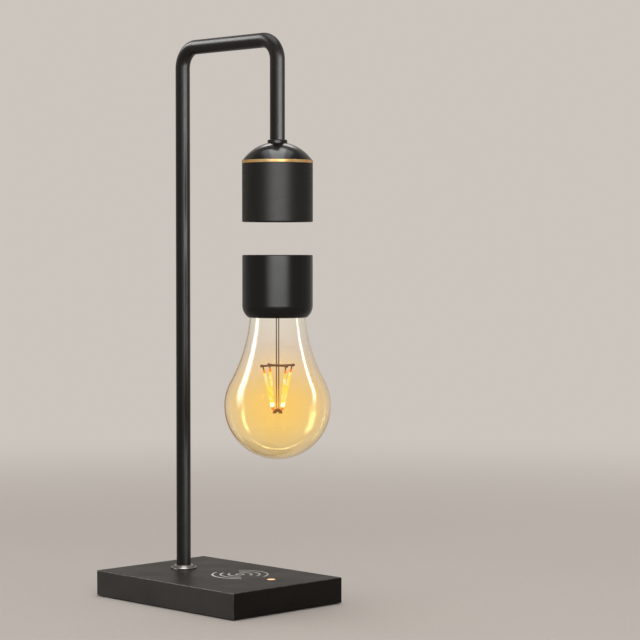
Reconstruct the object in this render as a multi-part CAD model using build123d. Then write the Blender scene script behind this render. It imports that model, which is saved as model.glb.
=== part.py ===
from build123d import *
import math
import os

# A levitating lamp, in millimetres. It stands on Z = 0, with the middle of its base at X = 0, Y = 0.
# X runs from the post to the bulb, and Y across the base.

# The whole lamp
lamp_height = 385.0
post_x = -36.0
reach = 96.0
drop_length = 66.7
hover_gap = 21.8
overrun = 1.0
fit_gap = 0.05
side_gap = 0.1
loose_gap = 0.3

# The bent tube, with the nipple, washer and nut at each of its ends
tube_radius = 5.0
tube_wall = 1.1
bend_radius = 14.0
nipple_wall = 1.15
nipple_grip_length = 16.0
nipple_proud_length = 0.6
washer_radius = 8.0
washer_thickness = 1.0
nut_width = 13.0
nut_height = 4.0

# The foot flange and the collar at the head
flange_radius = 9.0
flange_lip_width = 0.9
flange_lip_height = 1.3
flange_floor_height = 0.7
flange_collar_radius = 6.9
flange_collar_height = 2.6
flange_chamfer_width = 0.4
collar_radius = 6.6
collar_height = 2.3
collar_round_radius = 0.8

# The base: shell, bottom plate, pad and ballast
base_length = 142.0
base_width = 99.0
base_body_height = 17.2
base_wall = 2.2
base_top_wall = 2.0
base_edge_radius = 0.6
boss_radius = 3.6
boss_inset = 8.0
plate_thickness = 1.6
pad_thickness = 0.8
pad_inset = 6.0
pad_corner_radius = 4.0
screw_radius = 1.25
screw_head_radius = 2.6
screw_head_depth = 1.3
screw_length = 9.0
ballast_thickness = 5.0
ballast_side_gap = 5.3
ballast_end_gap = 10.8
ballast_inlet_gap = 5.6
ballast_notch_width = 14.0
ballast_notch_reach_length = 18.0
ballast_screw_y = 30.0
ballast_screw_length = 5.0

# The main board, hung from pillars of the shell
board_thickness = 1.6
board_post_gap = 9.0
board_end_gap = 10.8
board_side_gap = 7.3
board_rise_height = 2.0
board_hole_inset = 5.0
pillar_radius = 2.8
board_screw_radius = 1.0
board_screw_head_radius = 2.0
board_screw_head_height = 1.4
board_screw_length = 5.5
chip_length = 9.0
chip_width = 7.0
chip_height = 1.5
inductor_width = 6.5
inductor_height = 2.5
capacitor_radius = 3.2
capacitor_height = 4.2
chip_place_shares = ((-0.30, -0.20), (-0.02, -0.10), (0.22, 0.22), (0.24, 0.36))
inductor_place_shares = ((-0.14, -0.30), (0.03, -0.30))
capacitor_place_shares = ((0.20, -0.30), (0.31, -0.30))

# The phone charger: mark, coil and ferrite
charger_x = 13.0
charger_y = 8.7
coil_outer_radius = 21.5
coil_inner_radius = 10.0
coil_thickness = 1.2
ferrite_radius = 22.5
ferrite_thickness = 1.0
mark_arc_count = 3
mark_first_radius = 8.0
mark_step_width = 5.5
mark_ring_radius = 2.6
mark_stroke_width = 1.3
mark_depth = 0.15
mark_proud_height = 0.05
mark_half_span = 63.0
mark_turn = -12.0

# The touch spot
touch_inset = 26.7
touch_y = 8.7
lens_radius = 3.0
lens_groove_width = 0.25
lens_proud_height = 0.1
lens_flange_radius = 4.2
lens_flange_height = 0.8
lens_stem_radius = 2.0
electrode_radius = 8.0
electrode_thickness = 0.3
led_length = 3.2
led_width = 2.8
led_height = 1.9

# The power inlet at the rear
inlet_length = 13.2
inlet_width = 9.0
inlet_height = 10.6
inlet_collar_radius = 4.1
inlet_bore_radius = 2.85
inlet_bore_depth = 9.5
inlet_pin_radius = 1.0
inlet_pin_set_back_length = 1.0
inlet_pin_root_length = 2.0
inlet_wire_radius = 0.6
inlet_wire_gap = 6.6
inlet_wire_lap_length = 5.0

# The cable inside the tube, with a plug at each end
cable_radius = 1.6
cable_turn_radius = 5.0
cable_floor_gap = 2.2
plug_length = 8.0
plug_width = 6.4
plug_height = 5.4
plug_lap_length = 6.0
head_plug_height = 4.5

# The head
head_radius = 23.5
head_shell_height = 38.8
head_wall = 1.8
head_edge_radius = 0.4
head_lip_width = 0.5
head_lip_height = 1.2
face_thickness = 2.0
dome_sphere_radius = 28.35
dome_base_radius = 23.3
dome_land_radius = 7.0
dome_wall = 2.0
dome_boss_radius = 8.5
dome_boss_height = 3.0
dome_spigot_depth = 4.0
dome_spigot_wall = 1.5
trim_height = 2.0
trim_proud_width = 0.2

# The electromagnet, its sensor and its boards
sensor_width = 4.2
sensor_height = 1.5
transmitter_outer_radius = 21.0
transmitter_inner_radius = 14.0
transmitter_height = 2.0
core_radius = 6.0
bobbin_flange_radius = 20.5
bobbin_flange_height = 1.5
bobbin_tube_wall = 1.4
winding_height = 19.4
winding_depth = 11.9
yoke_height = 2.0
spacer_height = 3.0
spacer_radius = 3.0
spacer_reach_length = 14.0
control_board_gap = 0.4
control_screw_grip_length = 1.5
coil_lead_radius = 0.4
coil_lead_reach_length = 20.95
coil_lead_turn = 12.0

# The bulb's cap
cap_radius = 23.5
cap_straight_height = 33.5
cap_round_height = 8.0
cap_round_width = 4.0
cap_wall = 1.8
cap_step_width = 0.8
cap_edge_radius = 0.4
lid_set_down_depth = 1.4
lid_thickness = 1.8
lid_rim_wall = 0.95

# What the cap holds
magnet_radius = 15.0
receiver_height = 2.0
receiver_inner_radius = 16.2
carrier_flange_height = 1.2
carrier_wall = 1.0
carrier_floor = 1.6
magnet_height = 7.7
driver_drop_height = 6.0
driver_pillar_radius = 1.9
driver_pillar_reach_length = 12.0
driver_board_thickness = 1.6
driver_screw_radius = 0.8
driver_screw_head_radius = 1.6
driver_screw_head_height = 1.2
driver_screw_length = 5.0
driver_chip_width = 6.0
driver_chip_height = 1.6
driver_capacitor_radius = 2.4
driver_capacitor_height = 4.6
receiver_lead_reach_length = 18.6
receiver_lead_radius = 0.4
neck_ring_height = 4.4
neck_gap = 0.1

# The glass
belly_radius = 35.65
belly_drop_height = 58.7
neck_radius = 18.3
neck_rise_height = 9.4
neck_tail_length = 4.0
glass_wall = 0.8
stem_bottom_rise_height = 2.4
stem_pinch_radius = 2.2
stem_pinch_height = 3.0
stem_flare_height = 5.2
stem_edge_height = 1.2

# What glows in the glass
lead_turn = 46.3
lead_radius = 0.38
lead_gap = 0.78
tail_radius = 0.4
tail_gap = 5.2
support_rise_height = 26.6
support_arm_radius = 0.65
support_arm_length = 12.2
support_knob_radius = 0.85
support_hub_radius = 1.6
support_hub_height = 1.3
tab_radius = 0.5
stick_turn = 76.3
stick_radius = 1.0
stick_top_reach_length = 10.5
stick_top_drop_height = 2.5
stick_bottom_reach_length = 3.0
stick_bottom_side_length = 1.1
stick_bottom_drop_height = 2.9
tip_radius = 0.75
tip_length = 2.2
bridge_length = 6.8
bridge_width = 3.8
bridge_height = 1.1
bridge_gap = 0.3
bridge_leg_length = 1.6
bridge_leg_height = 1.2

# Places that follow from the sizes above
touch_x = base_length / 2 - touch_inset
head_x = post_x + reach
arm_z = lamp_height - tube_radius
tube_bore = tube_radius - tube_wall
nipple_radius = tube_bore - fit_gap
nipple_bore = nipple_radius - nipple_wall

base_bottom = pad_thickness
base_top = base_bottom + base_body_height
ceiling = base_top - base_top_wall
plate_top = base_bottom + plate_thickness
ballast_top = plate_top + ballast_thickness
board_bottom = ballast_top + board_rise_height
board_top = board_bottom + board_thickness
inner_half_length = base_length / 2 - base_wall
inner_half_width = base_width / 2 - base_wall
boss_places = [
    (side * (base_length / 2 - boss_inset), across * (base_width / 2 - boss_inset))
    for side in (-1, 1)
    for across in (-1, 1)
]
inlet_z = plate_top + inlet_height / 2
inlet_back_x = -inner_half_length + inlet_length
ballast_near_x = inlet_back_x + ballast_inlet_gap
ballast_far_x = inner_half_length - ballast_end_gap
ballast_x = (ballast_near_x + ballast_far_x) / 2
ballast_screw_places = [(ballast_x, -ballast_screw_y), (ballast_x, ballast_screw_y)]
board_near_x = post_x + board_post_gap
board_far_x = inner_half_length - board_end_gap
board_x = (board_near_x + board_far_x) / 2
board_length = board_far_x - board_near_x
board_width = 2 * (inner_half_width - board_side_gap)
board_places = [
    (board_x + side * (board_length / 2 - board_hole_inset), across * (board_width / 2 - board_hole_inset))
    for side in (-1, 1)
    for across in (-1, 1)
]
cable_low_z = plate_top + cable_floor_gap + cable_radius
plug_face_x = board_near_x + plug_lap_length - plug_length

land_z = arm_z - drop_length - collar_height
dome_centre_z = land_z - math.sqrt(dome_sphere_radius**2 - dome_land_radius**2)
dome_base_z = dome_centre_z + math.sqrt(dome_sphere_radius**2 - dome_base_radius**2)
head_shell_top = dome_base_z - trim_height
head_bottom = head_shell_top - head_shell_height
head_inner_radius = head_radius - head_wall
face_bottom = head_bottom + head_lip_height
face_top = face_bottom + face_thickness
bobbin_bottom = face_top + transmitter_height
winding_bottom = bobbin_bottom + bobbin_flange_height
winding_top = winding_bottom + winding_height
yoke_bottom = winding_top + bobbin_flange_height
yoke_top = yoke_bottom + yoke_height
control_board_bottom = yoke_top + spacer_height
control_board_top = control_board_bottom + board_thickness
control_board_radius = head_inner_radius - control_board_gap
head_plug_top = control_board_top + head_plug_height
bobbin_bore = core_radius + side_gap
winding_inner_radius = bobbin_bore + bobbin_tube_wall + side_gap

cap_top = head_bottom - hover_gap
cap_straight_bottom = cap_top - cap_straight_height
cap_bottom = cap_straight_bottom - cap_round_height
lid_top = cap_top - lid_set_down_depth
lid_bottom = lid_top - lid_thickness
cap_upper_bore = cap_radius - cap_wall
cap_lower_bore = cap_upper_bore - cap_step_width
carrier_top = lid_bottom - receiver_height
carrier_seat = carrier_top - carrier_flange_height
magnet_top = lid_bottom - loose_gap
magnet_bottom = magnet_top - magnet_height
carrier_cup_radius = magnet_radius + loose_gap
carrier_floor_top = magnet_bottom - loose_gap
carrier_bottom = carrier_floor_top - carrier_floor
driver_top = carrier_bottom - driver_drop_height
driver_bottom = driver_top - driver_board_thickness
belly_z = cap_bottom - belly_drop_height
neck_straight_z = cap_bottom + neck_rise_height
neck_top = neck_straight_z + neck_tail_length
stem_bottom = cap_bottom + stem_bottom_rise_height
stem_top = stem_bottom + stem_pinch_height + stem_flare_height + stem_edge_height
support_z = belly_z + support_rise_height
bridge_top = belly_z - stick_bottom_drop_height - bridge_gap

third_turns = (0, 120, 240)
half_third_turn = 60
quarter_turn = 90
stick_indices = range(4)
stand_up = (Align.CENTER, Align.CENTER, Align.MIN)


def disc(radius, low, high, x=0, y=0):
    """A round disc or rod between two heights."""
    return Pos(x, y, low) * Cylinder(radius, high - low, align=stand_up)


def ring(outer, inner, low, high, x=0, y=0):
    """A disc with a round hole."""
    return disc(outer, low, high, x, y) - disc(inner, low - overrun, high + overrun, x, y)


def block(length, width, low, high, x=0, y=0):
    """A rectangular block between two heights."""
    return Pos(x, y, low) * Box(length, width, high - low, align=stand_up)


def rod(start, end, radius):
    """A round rod from one point to another."""
    along = Vector(*end) - Vector(*start)
    return Plane(origin=start, z_dir=along) * Cylinder(radius, along.length, align=stand_up)


def turned(outline):
    """Turns a closed outline of radius and height about the upright axis."""
    return revolve(make_face(Plane.XZ * outline), Axis.Z)


def at_head(shape):
    """Moves a shape made on the upright axis to the axis of the head and the bulb."""
    return Pos(head_x, 0, 0) * shape


def polar(radius, turn, z):
    """A point at a radius and a turn in degrees about the upright axis."""
    return (radius * math.cos(math.radians(turn)), radius * math.sin(math.radians(turn)), z)


def save(name, *solids):
    """Writes one named sub-part, which may be several separate solids."""
    shape = solids[0] if len(solids) == 1 else Compound(children=list(solids))
    export_step(shape, f"parts/{name}.step")


def mark_stroke_arc(radius, side, low, high):
    """One curved stroke of the printed mark, centred on a direction given in degrees."""
    start = side - mark_half_span
    span = 2 * mark_half_span
    outer = CenterArc((0, 0), radius + mark_stroke_width / 2, start, span)
    inner = CenterArc((0, 0), radius - mark_stroke_width / 2, start, span)
    outline = outer + Line(outer @ 1, inner @ 1) + inner + Line(inner @ 0, outer @ 0)
    return Pos(charger_x, charger_y, low) * extrude(make_face(outline), high - low)


def charging_marks(low, high):
    """Nested arcs on both sides of a small ring, as the printed mark and as its recess."""
    outer = mark_ring_radius + mark_stroke_width / 2
    strokes = [ring(outer, outer - mark_stroke_width, low, high, charger_x, charger_y)]
    for index in range(mark_arc_count):
        radius = mark_first_radius + index * mark_step_width
        strokes += [mark_stroke_arc(radius, side + mark_turn, low, high) for side in (-90, 90)]
    return strokes


def countersunk_screw(x, y, length):
    """A screw whose head is flush with the underside of the bottom plate."""
    head = Pos(x, y, base_bottom) * Cone(screw_head_radius, screw_radius, screw_head_depth, align=stand_up)
    return head + disc(screw_radius, base_bottom, base_bottom + length, x, y)


def countersunk_hole(x, y):
    """The hole for such a screw in the bottom plate."""
    wide = screw_head_radius + fit_gap
    narrow = screw_radius + fit_gap
    head = Pos(x, y, base_bottom) * Cone(wide, narrow, screw_head_depth, align=stand_up)
    return head + disc(narrow, base_bottom - overrun, plate_top + overrun, x, y)


def base_shell():
    body = block(base_length, base_width, base_bottom, base_top)
    body = fillet(body.edges().filter_by(Axis.Z), base_edge_radius)
    body = fillet(body.faces().sort_by(Axis.Z)[-1].edges(), base_edge_radius)
    body -= block(2 * inner_half_length, 2 * inner_half_width, base_bottom - overrun, ceiling)
    screw_end = base_bottom + screw_length + overrun
    for x, y in boss_places:
        body += disc(boss_radius, plate_top, ceiling, x, y)
        body -= disc(screw_radius + fit_gap, plate_top - overrun, screw_end, x, y)
    for x, y in board_places:
        body += disc(pillar_radius, board_top, ceiling, x, y)
        body -= disc(board_screw_radius + fit_gap, board_top - overrun, ceiling, x, y)
    body -= disc(nipple_radius + fit_gap, ceiling - overrun, base_top + overrun, post_x)
    body -= disc(lens_radius + lens_groove_width, ceiling - overrun, base_top + overrun, touch_x, touch_y)
    wall_x = -base_length / 2
    outside = (wall_x - overrun, 0, inlet_z)
    inside = (wall_x + base_wall + overrun, 0, inlet_z)
    body -= rod(outside, inside, inlet_collar_radius + side_gap)
    for stroke in charging_marks(base_top - mark_depth, base_top + overrun):
        body -= stroke
    return body


def bottom_plate():
    length = 2 * (inner_half_length - loose_gap)
    width = 2 * (inner_half_width - loose_gap)
    plate = block(length, width, base_bottom, plate_top)
    for x, y in boss_places + ballast_screw_places:
        plate -= countersunk_hole(x, y)
    return plate


def non_slip_pad():
    pad = block(base_length - 2 * pad_inset, base_width - 2 * pad_inset, 0, pad_thickness)
    return fillet(pad.edges().filter_by(Axis.Z), pad_corner_radius)


def ballast_plate():
    width = 2 * (inner_half_width - ballast_side_gap)
    plate = block(ballast_far_x - ballast_near_x, width, plate_top, ballast_top, ballast_x)
    notch_start = ballast_near_x - overrun
    notch_end = post_x + ballast_notch_reach_length
    notch_x = (notch_start + notch_end) / 2
    low = plate_top - overrun
    high = ballast_top + overrun
    plate -= block(notch_end - notch_start, ballast_notch_width, low, high, notch_x)
    for x, y in ballast_screw_places:
        plate -= disc(screw_radius + fit_gap, low, high, x, y)
    return plate


def main_board():
    board = block(board_length, board_width, board_bottom, board_top, board_x)
    for x, y in board_places:
        board -= disc(board_screw_radius + side_gap, board_bottom - overrun, board_top + overrun, x, y)
    return board


def on_board(share_x, share_y):
    """A place on the main board, given as shares of its length and width from its middle."""
    return board_x + share_x * board_length, share_y * board_width


def board_components():
    chips = [
        block(chip_length, chip_width, board_top, board_top + chip_height, *on_board(*place))
        for place in chip_place_shares
    ]
    inductors = [
        block(inductor_width, inductor_width, board_top, board_top + inductor_height, *on_board(*place))
        for place in inductor_place_shares
    ]
    capacitors = [
        disc(capacitor_radius, board_top, board_top + capacitor_height, *on_board(*place))
        for place in capacitor_place_shares
    ]
    return chips + inductors + capacitors


def board_screw(x, y):
    """A screw put in from below, through the board and into a pillar of the shell."""
    head = disc(board_screw_head_radius, board_bottom - board_screw_head_height, board_bottom, x, y)
    return head + disc(board_screw_radius, board_bottom, board_bottom + board_screw_length, x, y)


def charging_coil():
    low = ceiling - coil_thickness
    return ring(coil_outer_radius, coil_inner_radius, low, ceiling, charger_x, charger_y)


def charging_ferrite():
    top = ceiling - coil_thickness
    return disc(ferrite_radius, top - ferrite_thickness, top, charger_x, charger_y)


def touch_lens():
    """The lit spot: a light pipe with a flange under the top of the shell."""
    lens = disc(lens_radius, ceiling - lens_flange_height, base_top + lens_proud_height, touch_x, touch_y)
    lens += disc(lens_flange_radius, ceiling - lens_flange_height, ceiling, touch_x, touch_y)
    stem_low = board_top + led_height + loose_gap
    return lens + disc(lens_stem_radius, stem_low, ceiling, touch_x, touch_y)


def touch_electrode():
    inner = lens_flange_radius + side_gap
    return ring(electrode_radius, inner, ceiling - electrode_thickness, ceiling, touch_x, touch_y)


def indicator_led():
    return block(led_length, led_width, board_top, board_top + led_height, touch_x, touch_y)


def dc_inlet():
    outside = -base_length / 2
    body = Pos(-inner_half_length, 0, inlet_z) * Box(
        inlet_length, inlet_width, inlet_height, align=(Align.MIN, Align.CENTER, Align.CENTER)
    )
    body += rod((outside, 0, inlet_z), (-inner_half_length + overrun, 0, inlet_z), inlet_collar_radius)
    bore_end = outside + inlet_bore_depth
    body -= rod((outside - overrun, 0, inlet_z), (bore_end, 0, inlet_z), inlet_bore_radius)
    root_end = bore_end + inlet_pin_root_length
    return body - rod((bore_end - overrun, 0, inlet_z), (root_end, 0, inlet_z), inlet_pin_radius + fit_gap)


def inlet_pin():
    start = -base_length / 2 + inlet_pin_set_back_length
    end = -base_length / 2 + inlet_bore_depth + inlet_pin_root_length
    return rod((start, 0, inlet_z), (end, 0, inlet_z), inlet_pin_radius)


def inlet_wire(side):
    """A wire from the back of the inlet to the underside of the main board."""
    y = side * (inlet_wire_radius + inlet_wire_gap / 2)
    z = board_bottom - inlet_wire_radius - fit_gap
    return rod((inlet_back_x, y, z), (board_near_x + inlet_wire_lap_length, y, z), inlet_wire_radius)


def cable_plug_base():
    x = plug_face_x + plug_length / 2
    return block(plug_length, plug_width, board_bottom - plug_height, board_bottom, x)


def foot_flange():
    bore = tube_radius + fit_gap
    lip = flange_radius - flange_lip_width
    collar_top = base_top + flange_collar_height
    lip_top = base_top + flange_lip_height
    outline = Polyline(
        (bore, base_top),
        (flange_radius, base_top),
        (flange_radius, lip_top - flange_chamfer_width),
        (flange_radius - flange_chamfer_width, lip_top),
        (lip, lip_top),
        (lip, base_top + flange_floor_height),
        (flange_collar_radius, base_top + flange_floor_height),
        (flange_collar_radius, collar_top - 2 * flange_chamfer_width),
        (flange_collar_radius - flange_chamfer_width, collar_top),
        (bore, collar_top),
        close=True,
    )
    return Pos(post_x, 0, 0) * turned(outline)


def arm_tube():
    """One round tube: up the post, along the arm and down to the head."""
    path = FilletPolyline(
        (post_x, 0, base_top),
        (post_x, 0, arm_z),
        (head_x, 0, arm_z),
        (head_x, 0, land_z),
        radius=bend_radius,
    )
    section = Plane(origin=(post_x, 0, base_top)) * (Circle(tube_radius) - Circle(tube_bore))
    return sweep(section, path=path)


def power_cable():
    """The cable from the main board to the control board, through the whole tube."""
    path = FilletPolyline(
        (plug_face_x, 0, cable_low_z),
        (post_x, 0, cable_low_z),
        (post_x, 0, arm_z),
        (head_x, 0, arm_z),
        (head_x, 0, head_plug_top),
        radius=[cable_turn_radius, bend_radius, bend_radius],
    )
    section = Plane(origin=(plug_face_x, 0, cable_low_z), z_dir=(-1, 0, 0)) * Circle(cable_radius)
    return sweep(section, path=path)


def nipple(x, face, inward, wall):
    """A hollow threaded nipple: its grip is in the tube, and the rest passes the wall, washer and nut."""
    tube_end = face - inward * nipple_grip_length
    nut_end = face + inward * (wall + washer_thickness + nut_height + nipple_proud_length)
    return ring(nipple_radius, nipple_bore, min(tube_end, nut_end), max(tube_end, nut_end), x)


def washer(x, seat, inward):
    far = seat + inward * washer_thickness
    return ring(washer_radius, nipple_radius + fit_gap, min(seat, far), max(seat, far), x)


def nut(x, seat, inward):
    near = seat + inward * washer_thickness
    far = near + inward * nut_height
    low, high = min(near, far), max(near, far)
    corner_radius = nut_width / 2 / math.cos(math.pi / 6)
    hexagon = extrude(Pos(x, 0, low) * RegularPolygon(corner_radius, 6), high - low)
    return hexagon - disc(nipple_radius + fit_gap, low - overrun, high + overrun, x)


def head_collar():
    collar = ring(collar_radius, tube_radius + fit_gap, land_z, land_z + collar_height)
    outer_top = collar.edges().filter_by(GeomType.CIRCLE).group_by(Axis.Z)[-1].sort_by(SortBy.RADIUS)[-1]
    return at_head(fillet(outer_top, collar_round_radius))


def head_dome():
    """A domed cover with a flat land on top, a boss under it and a spigot that enters the shell."""
    centre = (0, dome_centre_z)
    inner_sphere = dome_sphere_radius - dome_wall
    bore = nipple_radius + fit_gap
    spigot_radius = head_inner_radius - fit_gap
    spigot_inner = spigot_radius - dome_spigot_wall
    spigot_low = head_shell_top - dome_spigot_depth
    boss_low = land_z - dome_boss_height
    outer_start = math.degrees(math.acos(dome_base_radius / dome_sphere_radius))
    outer_end = math.degrees(math.acos(dome_land_radius / dome_sphere_radius))
    inner_start = math.degrees(math.acos(spigot_inner / inner_sphere))
    inner_end = math.degrees(math.acos(dome_boss_radius / inner_sphere))
    outer = CenterArc(centre, dome_sphere_radius, outer_start, outer_end - outer_start)
    inner = CenterArc(centre, inner_sphere, inner_start, inner_end - inner_start)
    rim = Polyline(
        inner @ 0,
        (spigot_inner, spigot_low),
        (spigot_radius, spigot_low),
        (spigot_radius, dome_base_z),
        outer @ 0,
    )
    crown = Polyline(
        outer @ 1,
        (bore, land_z),
        (bore, boss_low),
        (dome_boss_radius, boss_low),
        inner @ 1,
    )
    return at_head(turned(rim + outer + crown + inner))


def trim_ring():
    return at_head(ring(head_radius + trim_proud_width, head_inner_radius, head_shell_top, dome_base_z))


def head_shell():
    """A tube with a narrow lip inside its lower edge, which carries the face."""
    outside = head_radius
    lip_radius = head_inner_radius - head_lip_width
    outline = Polyline(
        (lip_radius, head_bottom),
        (outside - head_edge_radius, head_bottom),
        (outside, head_bottom + head_edge_radius),
        (outside, head_shell_top),
        (head_inner_radius, head_shell_top),
        (head_inner_radius, face_bottom),
        (lip_radius, face_bottom),
        close=True,
    )
    return at_head(turned(outline))


def head_face():
    return at_head(disc(head_inner_radius - side_gap, face_bottom, face_top))


def hall_sensor():
    return at_head(block(sensor_width, sensor_width, face_top, face_top + sensor_height))


def transmitter_coil():
    return at_head(ring(transmitter_outer_radius, transmitter_inner_radius, face_top, bobbin_bottom))


def iron_core():
    return at_head(disc(core_radius, face_top + sensor_height, yoke_top))


def coil_bobbin():
    bobbin = disc(bobbin_flange_radius, bobbin_bottom, winding_bottom)
    bobbin += disc(bobbin_bore + bobbin_tube_wall, winding_bottom, winding_top)
    bobbin += disc(bobbin_flange_radius, winding_top, yoke_bottom)
    return at_head(bobbin - disc(bobbin_bore, bobbin_bottom - overrun, yoke_bottom + overrun))


def magnet_winding():
    outer = winding_inner_radius + winding_depth
    return at_head(ring(outer, winding_inner_radius, winding_bottom, winding_top))


def yoke_plate():
    plate = ring(bobbin_flange_radius, bobbin_bore, yoke_bottom, yoke_top)
    for turn in third_turns:
        x, y, low = polar(spacer_reach_length, turn, yoke_top - control_screw_grip_length)
        plate -= disc(board_screw_radius + fit_gap, low, yoke_top + overrun, x, y)
    return at_head(plate)


def board_spacers():
    places = [polar(spacer_reach_length, turn, yoke_top) for turn in third_turns]
    bore = board_screw_radius + side_gap
    return [at_head(ring(spacer_radius, bore, z, control_board_bottom, x, y)) for x, y, z in places]


def control_board():
    board = disc(control_board_radius, control_board_bottom, control_board_top)
    for turn in third_turns:
        x, y, low = polar(spacer_reach_length, turn, control_board_bottom - overrun)
        board -= disc(board_screw_radius + side_gap, low, control_board_top + overrun, x, y)
    return at_head(board)


def control_board_screws():
    screws = []
    for turn in third_turns:
        x, y, low = polar(spacer_reach_length, turn, yoke_top - control_screw_grip_length)
        shank = disc(board_screw_radius, low, control_board_top, x, y)
        head_top = control_board_top + board_screw_head_height
        screws.append(at_head(shank + disc(board_screw_head_radius, control_board_top, head_top, x, y)))
    return screws


def cable_plug_head():
    return at_head(block(plug_length, plug_width, control_board_top, head_plug_top))


def coil_leads():
    """Two wires from the transmitter coil up to the control board, past the bobbin."""
    leads = []
    for side in (-1, 1):
        x, y, low = polar(coil_lead_reach_length, side * coil_lead_turn, bobbin_bottom)
        leads.append(at_head(disc(coil_lead_radius, low, control_board_bottom, x, y)))
    return leads


def levitation_magnet():
    return at_head(disc(magnet_radius, magnet_bottom, magnet_top))


def cap_shell():
    """The bulb's cap: straight sides rounded in at the bottom, stepped bores inside."""
    corner_radius = (cap_round_width**2 + cap_round_height**2) / (2 * cap_round_width)
    corner_sweep = math.degrees(math.asin(cap_round_height / corner_radius))
    corner_centre = (cap_radius - corner_radius, cap_straight_bottom)
    corner = CenterArc(corner_centre, corner_radius, -corner_sweep, corner_sweep)
    mouth = neck_width_at(cap_bottom) + neck_gap
    lid_bore = cap_radius - lid_rim_wall
    rest = Polyline(
        corner @ 1,
        (cap_radius, cap_top - cap_edge_radius),
        (cap_radius - cap_edge_radius, cap_top),
        (lid_bore, cap_top),
        (lid_bore, lid_bottom),
        (cap_upper_bore, lid_bottom),
        (cap_upper_bore, carrier_seat),
        (cap_lower_bore, carrier_seat),
        (cap_lower_bore, cap_straight_bottom),
        (mouth, cap_straight_bottom),
        (mouth, cap_bottom),
        corner @ 0,
    )
    return at_head(turned(corner + rest))


def cap_lid():
    return at_head(disc(cap_radius - lid_rim_wall - fit_gap, lid_bottom, lid_top))


def receiver_coil():
    outer = cap_upper_bore - side_gap
    return at_head(ring(outer, receiver_inner_radius, carrier_top, lid_bottom))


def magnet_carrier():
    """A cup for the magnet, with a flange on the cap's step and pillars for the driver board."""
    outer = carrier_cup_radius + carrier_wall
    carrier = disc(outer, carrier_bottom, carrier_top)
    carrier += disc(cap_upper_bore - side_gap, carrier_seat, carrier_top)
    carrier -= disc(carrier_cup_radius, carrier_floor_top, carrier_top + overrun)
    for turn in third_turns:
        x, y, low = polar(driver_pillar_reach_length, turn, driver_top)
        carrier += disc(driver_pillar_radius, low, carrier_bottom, x, y)
        carrier -= disc(driver_screw_radius + fit_gap, low - overrun, carrier_bottom, x, y)
    lead_bore = receiver_lead_radius + side_gap
    for x, y in receiver_lead_places():
        carrier -= disc(lead_bore, carrier_seat - overrun, carrier_top + overrun, x, y)
    return at_head(carrier)


def receiver_lead_places():
    """Where the two wires of the receiver coil pass the flange of the carrier."""
    return [polar(receiver_lead_reach_length, turn, 0)[:2] for turn in (coil_lead_turn, -coil_lead_turn)]


def receiver_leads():
    places = receiver_lead_places()
    return [at_head(disc(receiver_lead_radius, driver_top, carrier_top, x, y)) for x, y in places]


def driver_board():
    board = disc(cap_lower_bore - loose_gap, driver_bottom, driver_top)
    for turn in third_turns:
        x, y, low = polar(driver_pillar_reach_length, turn, driver_bottom - overrun)
        board -= disc(driver_screw_radius + side_gap, low, driver_top + overrun, x, y)
    return at_head(board)


def driver_components():
    parts = []
    for turn in third_turns:
        x, y, low = polar(driver_pillar_reach_length, turn + half_third_turn, driver_top)
        parts.append(at_head(disc(driver_capacitor_radius, low, low + driver_capacitor_height, x, y)))
    chip_top = driver_top + driver_chip_height
    return parts + [at_head(block(driver_chip_width, driver_chip_width, driver_top, chip_top))]


def driver_screws():
    screws = []
    for turn in third_turns:
        x, y, high = polar(driver_pillar_reach_length, turn, driver_bottom)
        head = disc(driver_screw_head_radius, high - driver_screw_head_height, high, x, y)
        screws.append(at_head(head + disc(driver_screw_radius, high, high + driver_screw_length, x, y)))
    return screws


def neck_arc_radius():
    """The radius of the hollow curve that is tangent to the belly and to the straight neck."""
    rise = neck_straight_z - belly_z
    return (rise**2 + neck_radius**2 - belly_radius**2) / (2 * (belly_radius - neck_radius))


def neck_width_at(z):
    """The outer radius of the glass on its hollow curve."""
    curve = neck_arc_radius()
    return neck_radius + curve - math.sqrt(curve**2 - (neck_straight_z - z) ** 2)


def glass_side(inset):
    """The side of the glass from its lowest point up to the neck, inset by a wall or by nothing."""
    curve = neck_arc_radius()
    turn = math.degrees(math.atan2(neck_straight_z - belly_z, neck_radius + curve))
    belly = CenterArc((0, belly_z), belly_radius - inset, -90, 90 + turn)
    hollow = CenterArc((neck_radius + curve, neck_straight_z), curve + inset, 180 + turn, -turn)
    return belly + hollow


def glass_envelope():
    outer = glass_side(0)
    inner = glass_side(glass_wall)
    bottom = Line((0, belly_z - belly_radius), (0, belly_z - belly_radius + glass_wall))
    rim = Polyline(
        (neck_radius, neck_straight_z),
        (neck_radius, neck_top),
        (neck_radius - glass_wall, neck_top),
        (neck_radius - glass_wall, neck_straight_z),
    )
    return at_head(turned(outer + rim + inner + bottom))


def glass_stem():
    """The flared glass that closes the neck, with the pinch that holds the lead wires."""
    flare_low = stem_bottom + stem_pinch_height
    edge_low = flare_low + stem_flare_height
    edge_radius = neck_radius - glass_wall - fit_gap
    outline = Polyline(
        (0, stem_bottom),
        (stem_pinch_radius, stem_bottom),
        (stem_pinch_radius, flare_low),
        (edge_radius, edge_low),
        (edge_radius, stem_top),
        (0, stem_top),
        close=True,
    )
    return at_head(turned(outline))


def neck_ring():
    """The ring that holds the glass in the cap, on the step above the cap's mouth."""
    low = cap_straight_bottom
    bore = neck_width_at(low) + neck_gap
    return at_head(ring(cap_lower_bore - side_gap, bore, low, low + neck_ring_height))


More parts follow.
